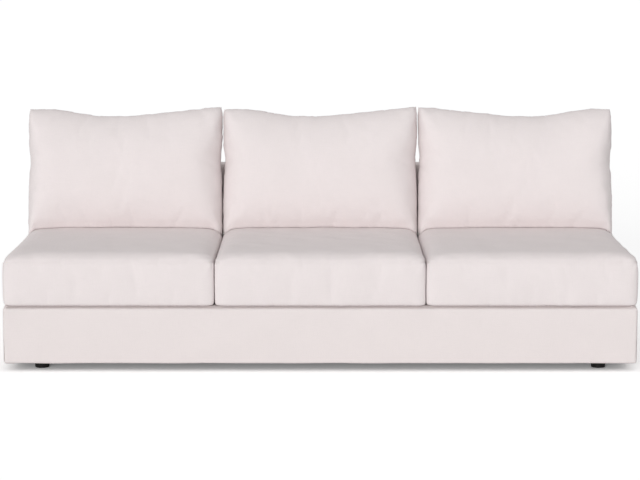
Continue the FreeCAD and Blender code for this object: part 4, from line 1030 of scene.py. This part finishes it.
def makeCushionMesh(name, points, cells):
    mesh = bpy.data.meshes.new(name)
    mesh.from_pydata([tuple(p) for p in points], [], cells)
    piece = bpy.data.objects.new(name, mesh)
    scene.collection.objects.link(piece)
    return piece


simulation = dict(pressure=4.0, frames=20, quality=6, slack=0.03)


def addCloth(piece, pins):
    # stuffing pushes the cover outwards, and the seams hold it
    group = piece.vertex_groups.new(name="sewn")
    for index, weight in enumerate(pins):
        if weight > 0:
            group.add([index], float(weight), "REPLACE")
    cloth = piece.modifiers.new("filling", "CLOTH")
    cloth.settings.quality = simulation["quality"]
    cloth.settings.use_pressure = True
    cloth.settings.uniform_pressure_force = simulation["pressure"]
    cloth.settings.effector_weights.gravity = 0
    cloth.settings.vertex_group_mass = "sewn"
    cloth.settings.shrink_min = -simulation["slack"]
    cloth.settings.tension_stiffness = 30
    cloth.settings.compression_stiffness = 20
    cloth.settings.bending_stiffness = 0.35
    cloth.point_cache.frame_start = 1
    cloth.point_cache.frame_end = simulation["frames"]


def readPoints(mesh):
    flat = np.zeros(len(mesh.vertices) * 3)
    mesh.vertices.foreach_get("co", flat)
    return flat.reshape(-1, 3)


def fillAll(pieces):
    # steps all cushions together and gives where each point came to
    for step in range(1, simulation["frames"] + 1):
        scene.frame_set(step)
    depsgraph = bpy.context.evaluated_depsgraph_get()
    results = [readPoints(piece.evaluated_get(depsgraph).to_mesh()) for piece in pieces]
    for piece in pieces:
        piece.modifiers.clear()
    scene.frame_set(1)
    return results


def held(start, result, gain, most):
    # part of the movement, and never more than the cap
    move = (result - start) * gain
    length = np.linalg.norm(move, axis=1, keepdims=True)
    return start + move * np.tanh(length / most) * most / np.maximum(length, 1e-9)


def subdivided(points, cells):
    # one level of subdivision surface, and the new mesh's points and cells
    piece = makeCushionMesh("work", points, cells)
    surface = piece.modifiers.new("smooth", "SUBSURF")
    surface.levels = surface.render_levels = 1
    depsgraph = bpy.context.evaluated_depsgraph_get()
    mesh = piece.evaluated_get(depsgraph).to_mesh()
    made = readPoints(mesh), [tuple(face.vertices) for face in mesh.polygons]
    bpy.data.objects.remove(piece)
    return made


def pointNormals(points, cells):
    corners = points[np.array(cells)]
    faces = np.cross(corners[:, 2] - corners[:, 0], corners[:, 3] - corners[:, 1])
    normals = np.zeros_like(points)
    for corner in range(4):
        np.add.at(normals, np.array(cells)[:, corner], faces)
    return unit(normals)


def nearTree(points):
    tree = KDTree(len(points))
    for index, place in enumerate(points):
        tree.insert(place, index)
    tree.balance()
    return tree


def sewn(points, cells, onSeam, look, seed):
    # the case's finer mesh, drawn in and gathered along its seams
    fine, faces = subdivided(points, cells)
    tree = nearTree(fine)
    seam = [tree.find(place)[0] for place in points[onSeam]]
    return pucker(fine, faces, seam, look, seed), faces


def pucker(points, cells, seam, look, seed):
    # draws the cloth in along a seam and gathers it beside the seam
    normals = pointNormals(points, cells)
    tree = nearTree(seam)
    away = np.zeros(len(points))
    nearest = np.zeros((len(points), 3))
    for index, place in enumerate(points):
        found, _, distance = tree.find(place)
        away[index] = distance
        nearest[index] = found
    gathers = ripple(nearest, look["puckerLength"], seed)
    gathers += 0.5 * ripple(nearest, look["puckerLength"] * 0.45, seed + 1)
    strength = look["pucker"] * (0.65 + 0.35 * ripple(nearest, 0.24, seed + 2))
    lift = strength * gathers * np.exp(-away / look["puckerRun"]) * smooth(away / 0.006)
    lift -= look["seamDepth"] * np.exp(-(away / look["seamWidth"]) ** 2)
    return points + normals * lift[:, None]


def makeSeats():
    base, cells, onSeam, pins = seatForm()
    look = seatLook
    starts, pieces = [], []
    for turn, side in enumerate(seatNames):
        normals = pointNormals(base, cells)
        start = base - normals * look["shrink"] * (1 - pins)[:, None]
        uneven = look["uneven"] * ripple(base, look["unevenLength"], 101 + turn)
        start += normals * (uneven * (1 - pins))[:, None]
        share = np.clip((base[:, 2] - seatLow.z) / look["boxing"], 0, 1)
        bow = look["bow"] * np.sin(share * math.pi) * (base[:, 1] < seatHigh.y - 0.001)
        start += normals * bow[:, None]
        starts.append(start)
        piece = makeCushionMesh(f"{side}_seat_work", start, cells)
        addCloth(piece, pins)
        pieces.append(piece)
    return base, cells, onSeam, starts, pieces


def finishSeats(base, cells, onSeam, starts, results):
    look = seatLook
    made = {}
    for turn, side in enumerate(seatNames):
        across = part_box(f"{side}_seat_cover")[1].x - seatHalf
        points = held(starts[turn], results[turn], look["gain"], look["move"])
        fine, faces = sewn(points, cells, onSeam, look, 120 + 10 * turn)
        fine = keepSeat(foldCorners(fine, faces, 140 + turn), side)
        fine[:, 0] += across
        piece = makePiece(f"{side}_seat_cushion_case", fine, faces, f"{side}_seat_cushion", "cushion_fabric",
                          materials["seatCloth"], (f"{side}_seat_cover",))
        core = points - pointNormals(points, cells) * coreInset
        core[:, 0] += across
        foam = makePiece(f"{side}_seat_foam_core", core, cells, f"{side}_seat_cushion", "foam",
                         materials["foam"], (f"{side}_seat_foam",))
        made[side] = BVHTree.FromPolygons([tuple(p) for p in fine], faces)
    return made


def foldCorners(points, cells, seed):
    # small folds that run out from each front upper corner, where the cloth is gathered
    normals = pointNormals(points, cells)
    lift = np.zeros(len(points))
    for turn, side in enumerate((-1, 1)):
        corner = np.array([side * (seatHalf - 0.006), seatLow.y + 0.006,
                           seatLow.z + seatLook["boxing"] + 0.012])
        away = points - corner
        distance = np.linalg.norm(away, axis=1)
        angle = np.arctan2(away[:, 2], np.abs(away[:, 0]) + 0.4 * np.abs(away[:, 1]))
        folds = np.sin(7 * angle + 1.3 * turn + seed)
        lift += folds * np.exp(-distance / seatLook["foldReach"]) * smooth(distance / seatLook["foldStart"])
    return points + normals * (seatLook["fold"] * lift)[:, None]


def keepSeat(points, side):
    # the cushion keeps to its own place between its neighbours, on the deck and before the back
    points = points.copy()
    for sign in (-1, 1):
        outer = side == ("left" if sign < 0 else "right")
        press = 0.003
        start = seatHalf + (seatLook["outerBulge"] if outer else -0.0003) - press
        over = sign * points[:, 0] - start
        soft = start + press * np.tanh(np.maximum(over, 0) / press)
        points[:, 0] = np.where(over > 0, sign * soft, points[:, 0])
    points[:, 1] = np.clip(points[:, 1], seatLow.y - 0.006, seatHigh.y - 0.0002)
    points[:, 2] = np.maximum(points[:, 2], seatLow.z + 0.0001)
    # its front edge hangs a little over the base's sloping lip
    ahead = smooth((railInner - points[:, 1]) / (railInner - railFront))
    points[:, 2] -= seatLook["sag"] * ahead * smooth(1 - (points[:, 2] - seatLow.z) / seatLook["sagReach"])
    return points


def makeBacks():
    forms = {atEnd: backForm(atEnd) for atEnd in (False, True)}
    look = backLook
    # the lower seam lies where the zip lies
    zipLow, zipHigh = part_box("middle_back_cushion_zip")
    shift = np.array([0.0, (zipLow.y + zipHigh.y) / 2 - 0.0049, zipHigh.z - 0.0285])
    starts, pieces = [], []
    for turn, side in enumerate(seatNames):
        local, cells, onSeam = forms[side in endNames]
        pins = np.where(onSeam, look["seamPin"], 0.0)
        start = local.copy()
        start[:, 1] *= look["plump"]
        wander = look["wander"] * np.stack([ripple(local, 0.04, 201 + turn), np.zeros(len(local)),
                                            ripple(local, 0.038, 211 + turn)], axis=-1)
        fromEar = np.hypot(backHalf - np.abs(local[:, 0]), backTall - local[:, 2])
        wander *= (1 + look["earWander"] * np.exp(-fromEar / look["earReach"]))[:, None]
        start += wander * onSeam[:, None]
        start[:, 1] *= 1 + look["uneven"] * ripple(local, look["unevenLength"], 221 + turn)
        start = leaned(start) + shift
        if side == "right":
            start[:, 0] *= -1
        starts.append(start)
        faces = [tuple(reversed(cell)) for cell in cells] if side == "right" else cells
        piece = makeCushionMesh(f"{side}_back_work", start, faces)
        addCloth(piece, pins)
        pieces.append((piece, faces))
    return onSeam, starts, pieces


def keepBack(points, seatTree, across):
    # it rests on the seat and leans on the inside back, clear of its neighbours
    points = points.copy()
    limit = backHalf - 0.0002
    points[:, 0] = np.clip(points[:, 0], -limit, limit)
    # above the back's top edge it may bulge rearwards, more with each bit of height
    above = np.maximum(points[:, 2] - backHigh.z + 0.012, 0)
    rear = backFace(points[:, 2]) - backLook["clear"] + backLook["bulge"] * above
    points[:, 1] = np.minimum(points[:, 1], rear)
    low = np.where(points[:, 2] < cushionLow.z + 0.06)[0]
    for index in low:
        x, y, z = points[index]
        hit = seatTree.ray_cast(Vector((x + across, y, z + 0.08)), Vector((0, 0, -1)), 0.16)[0]
        if hit is None:
            continue
        floor = hit.z + 0.0005
        # a point a little above the seat settles on it
        gap = z - floor
        points[index, 2] = floor if gap < 0 else floor + gap * smooth(gap / backLook["settle"]) ** 2
    return points


def finishBacks(onSeam, starts, pieces, results, seatTrees):
    look = backLook
    zipLow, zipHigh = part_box("middle_back_cushion_zip")
    for turn, side in enumerate(seatNames):
        cells = pieces[turn][1]
        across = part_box(f"{side}_back_cushion_cover")[1].x - backHalf
        points = held(starts[turn], results[turn], look["gain"], look["move"])
        fine, faces = sewn(points, cells, onSeam, look, 240 + 10 * turn)
        fine = keepBack(fine, seatTrees[side], across)
        fine[:, 0] += across
        piece = makePiece(f"{side}_back_cushion_case", fine, faces, f"{side}_back_cushion", "cushion_fabric",
                          materials["backCloth"], (f"{side}_back_cushion_cover",))
        kept = keepBack(points, seatTrees[side], across)
        core = kept - pointNormals(kept, cells) * coreInset
        core[onSeam] = core[onSeam] * 0.985 + core.mean(axis=0) * 0.015
        # the fill keeps above the zip
        overZip = (np.abs(core[:, 0]) < zipHigh.x + 0.02) & (np.abs(core[:, 1] - zipLow.y) < 0.04)
        core[:, 2] = np.where(overZip, np.maximum(core[:, 2], zipHigh.z + look["overZip"]), core[:, 2])
        core[:, 0] += across
        fibre = makePiece(f"{side}_back_fibre_fill", core, cells, f"{side}_back_cushion", "fibre_fill",
                          materials["fibreFill"], (f"{side}_back_cushion_fill",))


base, seatCells, seatSeam, seatStarts, seatPieces = makeSeats()
backSeam, backStarts, backPieces = makeBacks()
works = [*seatPieces, *(piece for piece, _ in backPieces)]
results = fillAll(works)
for work in works:
    bpy.data.objects.remove(work)
print("cushions filled")
seatTrees = finishSeats(base, seatCells, seatSeam, seatStarts, results[:3])
finishBacks(backSeam, backStarts, backPieces, results[3:], seatTrees)
print("cushions sewn")


# Zips: a woven tape, two rows of teeth that meet, end stops, and a slider with its pull.

zipLook = dict(tape=0.0007, wave=0.00006, tooth=0.0017, toothHalf=0.0021, pitch=0.0025, rise=0.0023,
               lift=0.0003, stop=0.0045, teethInset=0.004, body=0.0105, waist=0.0031, plate=0.0009,
               clear=0.00015, pullWidth=0.0052, pullHole=(0.72, 0.5), pullPlate=0.0009)


def zipFrame(node, faces):
    # maps places along, across and outwards of a zip into the sofa's frame
    low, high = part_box(node)
    if faces == "rear":
        start, middle = seatHigh.y, (low.z + high.z) / 2
        return low, high, lambda a, b, c: (a, start + c, middle + b)
    start, middle = high.z, (low.y + high.y) / 2
    return low, high, lambda a, b, c: (a, middle + b, start - c)


def prism(outline, low, high, place, hole=None):
    # a flat plate with a given outline, and a hole through it if there is one
    size = len(outline)
    points = [place(a, b, low) for a, b in outline] + [place(a, b, high) for a, b in outline]
    cells = [(k, (k + 1) % size, (k + 1) % size + size, k + size) for k in range(size)]
    if hole is None:
        cells += [tuple(reversed(range(size))), tuple(range(size, 2 * size))]
        return points, cells
    points += [place(a, b, low) for a, b in hole] + [place(a, b, high) for a, b in hole]
    for k in range(size):
        after = (k + 1) % size
        cells.append((after, k, k + 2 * size, after + 2 * size))
        cells.append((k + size, after + size, after + 3 * size, k + 3 * size))
        cells.append((k + 2 * size, k + 3 * size, after + 3 * size, after + 2 * size))
    return points, cells


def rectangle(a0, a1, b0, b1):
    return [(a0, b0), (a1, b0), (a1, b1), (a0, b1)]


def oval(centre, halfLong, halfWide, count=16, power=0.6):
    turn = np.arange(count) * 2 * math.pi / count
    return [(centre + halfLong * math.copysign(abs(math.cos(t)) ** power, math.cos(t)),
             halfWide * math.copysign(abs(math.sin(t)) ** power, math.sin(t))) for t in turn]


def makeZip(name, node, sliderNode, body, sliderBody, faces):
    look = zipLook
    low, high, place = zipFrame(node, faces)
    wide = (high.z - low.z if faces == "rear" else high.y - low.y) / 2
    lift = look["lift"]
    parts = []
    xs, bs = spread(low.x, high.x, 0.012), spread(-wide, wide, 0.0035)
    level, wave = lift + look["tape"], look["wave"]
    grid = np.array([[place(a, b, level + wave * math.sin(a * 90 + b * 200)) for b in bs] for a in xs])
    grid = grid if faces == "rear" else grid[:, ::-1]
    if gridNormals(grid)[3, 3] @ (np.array(place(0, 0, 1)) - np.array(place(0, 0, 0))) < 0:
        grid = grid[:, ::-1]
    tape = makePiece(f"{name}_tape", *thickSheet(grid, look["tape"]), body, "zip_tape", materials["zipTape"],
                     (node,))
    start, end = low.x + look["teethInset"], high.x - look["teethInset"]
    base, top = lift + look["tape"] * 0.8, look["rise"]
    count = int((end - start) / look["pitch"])
    for step in range(count):
        a = start + look["stop"] + step * look["pitch"]
        if a > end - look["stop"] - look["pitch"]:
            break
        shift = 0.0006 if step % 2 else -0.0006
        tooth = rectangle(a, a + look["tooth"], shift - look["toothHalf"], shift + look["toothHalf"])
        parts.append(prism(tooth, base, top, place))
    for a in (start, end - look["stop"] * 0.8):
        parts.append(prism(oval(a + 0.0018, 0.0018, 0.0032, 10), base, top + 0.0002, place))
    points, cells = joined(parts)
    teeth = makePiece(f"{name}_teeth", points, facedOut(points, cells), body, "zip_tape", materials["nickel"])
    teeth.data.polygons.foreach_set("use_smooth", [False] * len(teeth.data.polygons))
    makeSlider(name, sliderNode, sliderBody, place)


def facedOut(points, cells):
    # a plate built in a mirrored frame comes out inside out, so its faces are turned round
    corners = np.asarray(points, float)
    volume = sum(np.dot(corners[c[0]], np.cross(corners[c[k]], corners[c[k + 1]]))
                 for c in cells for k in range(1, len(c) - 1))
    return cells if volume > 0 else [tuple(reversed(cell)) for cell in cells]


def makeSlider(name, node, body, place):
    look = zipLook
    low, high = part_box(node)
    start, end = low.x, high.x
    base = look["rise"] + 0.0001
    wide, waist = (high.z - low.z if "seat" in node else high.y - low.y) / 2 - 0.0003, look["waist"]
    neck, shoulder, tip = (start + look["body"] * share for share in (0.45, 0.8, 1.0))
    wings = [(start, -waist), (neck, -waist * 1.05), (shoulder, -wide), (tip, -wide), (tip, -0.0008),
             (start + look["body"] * 0.82, 0.0), (tip, 0.0008), (tip, wide), (shoulder, wide),
             (neck, waist * 1.05), (start, waist)]
    parts = [prism(wings, base, base + look["plate"], place)]
    under = look["lift"] + look["tape"] + look["clear"]
    for side in (-1, 1):
        edge = [(start, waist), (neck, waist * 1.05), (shoulder, wide), (tip, wide), (tip, wide - 0.0007),
                (shoulder, wide - 0.0007), (neck, waist - 0.0006), (start, waist - 0.0006)]
        edge = [(a, side * b) for a, b in edge]
        parts.append(prism(edge if side < 0 else edge[::-1], under, base, place))
    bridge = base + look["plate"]
    for first, last, foot, crown in ((0.0016, 0.0028, 0, 0.0009), (0.0078, 0.0090, 0, 0.0009),
                                     (0.0016, 0.0090, 0.0009, 0.0015)):
        block = rectangle(start + first, start + last, -0.0009, 0.0009)
        parts.append(prism(block, bridge + foot, bridge + crown, place))
    middle, half = (start + 0.0062 + end) / 2, (end - start - 0.0062) / 2
    outline = oval(middle, half, look["pullWidth"] / 2)
    long, across = look["pullHole"]
    hole = [(middle + (a - middle) * long, b * across) for a, b in outline]
    parts.append(prism(outline, bridge + 0.00005, bridge + look["pullPlate"] * 0.9, place, hole))
    points, cells = joined(parts)
    slider = makePiece(f"{name}_slider", points, facedOut(points, cells), body, "zip_metal",
                       materials["nickel"], (node,))
    slider.data.polygons.foreach_set("use_smooth", [False] * len(slider.data.polygons))
    bevel = slider.modifiers.new("edges", "BEVEL")
    bevel.width = 0.00018
    bevel.segments = 1


for seatName in seatNames:
    for short, node, faces in (("seat", "seat", "rear"), ("back", "back_cushion", "under")):
        makeZip(f"{seatName}_{short}_zip_dressed", f"{seatName}_{node}_zip", f"{seatName}_{node}_zip_slider",
                f"{seatName}_{short}_cushion", f"{seatName}_{node}_slider", faces)
print("zips made")


# Floor, light and camera.

stageLook = dict(worldStrength=0.607, keyStrength=2.07, keySoftness=28, keyElevation=5, keySide=-18,
                 floorColour=0.8, openFloor=1.31, floorGlow=0.13)
cameraLook = dict(place=(-0.0007, -8.0745, 1.549), down=8.03, lens=120.4)


def seenStraight(nodes):
    # 1 for what the camera sees straight, by reflection or through glass, and 0 for the light it gives
    path = nodes.add("ShaderNodeLightPath").outputs
    return nodes.math("MAXIMUM", path["Is Camera Ray"],
                      nodes.math("MAXIMUM", path["Is Glossy Ray"], path["Is Transmission Ray"]))


def makeStage():
    world = bpy.data.worlds.new("studio")
    scene.world = world
    world.use_nodes = True
    nodes = Nodes(world.node_tree)
    background = world.node_tree.nodes["Background"]
    background.inputs["Color"].default_value = (1, 1, 1, 1)
    nodes.put(nodes.range(seenStraight(nodes), 0.0, 1.0, stageLook["worldStrength"], 1.0),
              background.inputs["Strength"])
    floor = bpy.data.meshes.new("floor")
    far = 90.0
    floor.from_pydata([(-far, -far, 0), (far, -far, 0), (far, far, 0), (-far, far, 0)], [], [(0, 1, 2, 3)])
    plane = bpy.data.objects.new("floor", floor)
    scene.collection.objects.link(plane)
    material = bpy.data.materials.new("paleFloor")
    material.use_nodes = True
    nodes = Nodes(material.node_tree)
    material.node_tree.nodes.clear()
    seen = seenStraight(nodes)
    colour = nodes.mix(seen, [stageLook["floorColour"]] * 3, [stageLook["openFloor"]] * 3)
    diffuse = nodes.add("ShaderNodeBsdfDiffuse", Color=colour)
    glow = nodes.add("ShaderNodeEmission", Strength=nodes.math("MULTIPLY", seen, stageLook["floorGlow"]))
    both = nodes.add("ShaderNodeAddShader", i0=diffuse.outputs[0], i1=glow.outputs[0])
    output = nodes.add("ShaderNodeOutputMaterial")
    nodes.put(both.outputs[0], output.inputs["Surface"])
    floor.materials.append(material)


def makeLight():
    # one broad soft light from the front, a little to the left
    lamp = bpy.data.lights.new("frontLight", "SUN")
    lamp.energy = stageLook["keyStrength"]
    lamp.angle = math.radians(stageLook["keySoftness"])
    light = bpy.data.objects.new("frontLight", lamp)
    tilt, side = math.radians(90 - stageLook["keyElevation"]), math.radians(stageLook["keySide"])
    light.rotation_euler = (tilt, 0, side)
    scene.collection.objects.link(light)


def makeCamera():
    camera = bpy.data.cameras.new("camera")
    camera.sensor_width = 36
    camera.lens = cameraLook["lens"]
    camera.clip_end = 300
    viewer = bpy.data.objects.new("camera", camera)
    viewer.location = cameraLook["place"]
    viewer.rotation_euler = (math.radians(90 - cameraLook["down"]), 0, 0)
    scene.collection.objects.link(viewer)
    scene.camera = viewer


makeStage()
makeLight()
makeCamera()
scene.view_settings.view_transform = "Standard"
print("stage set")
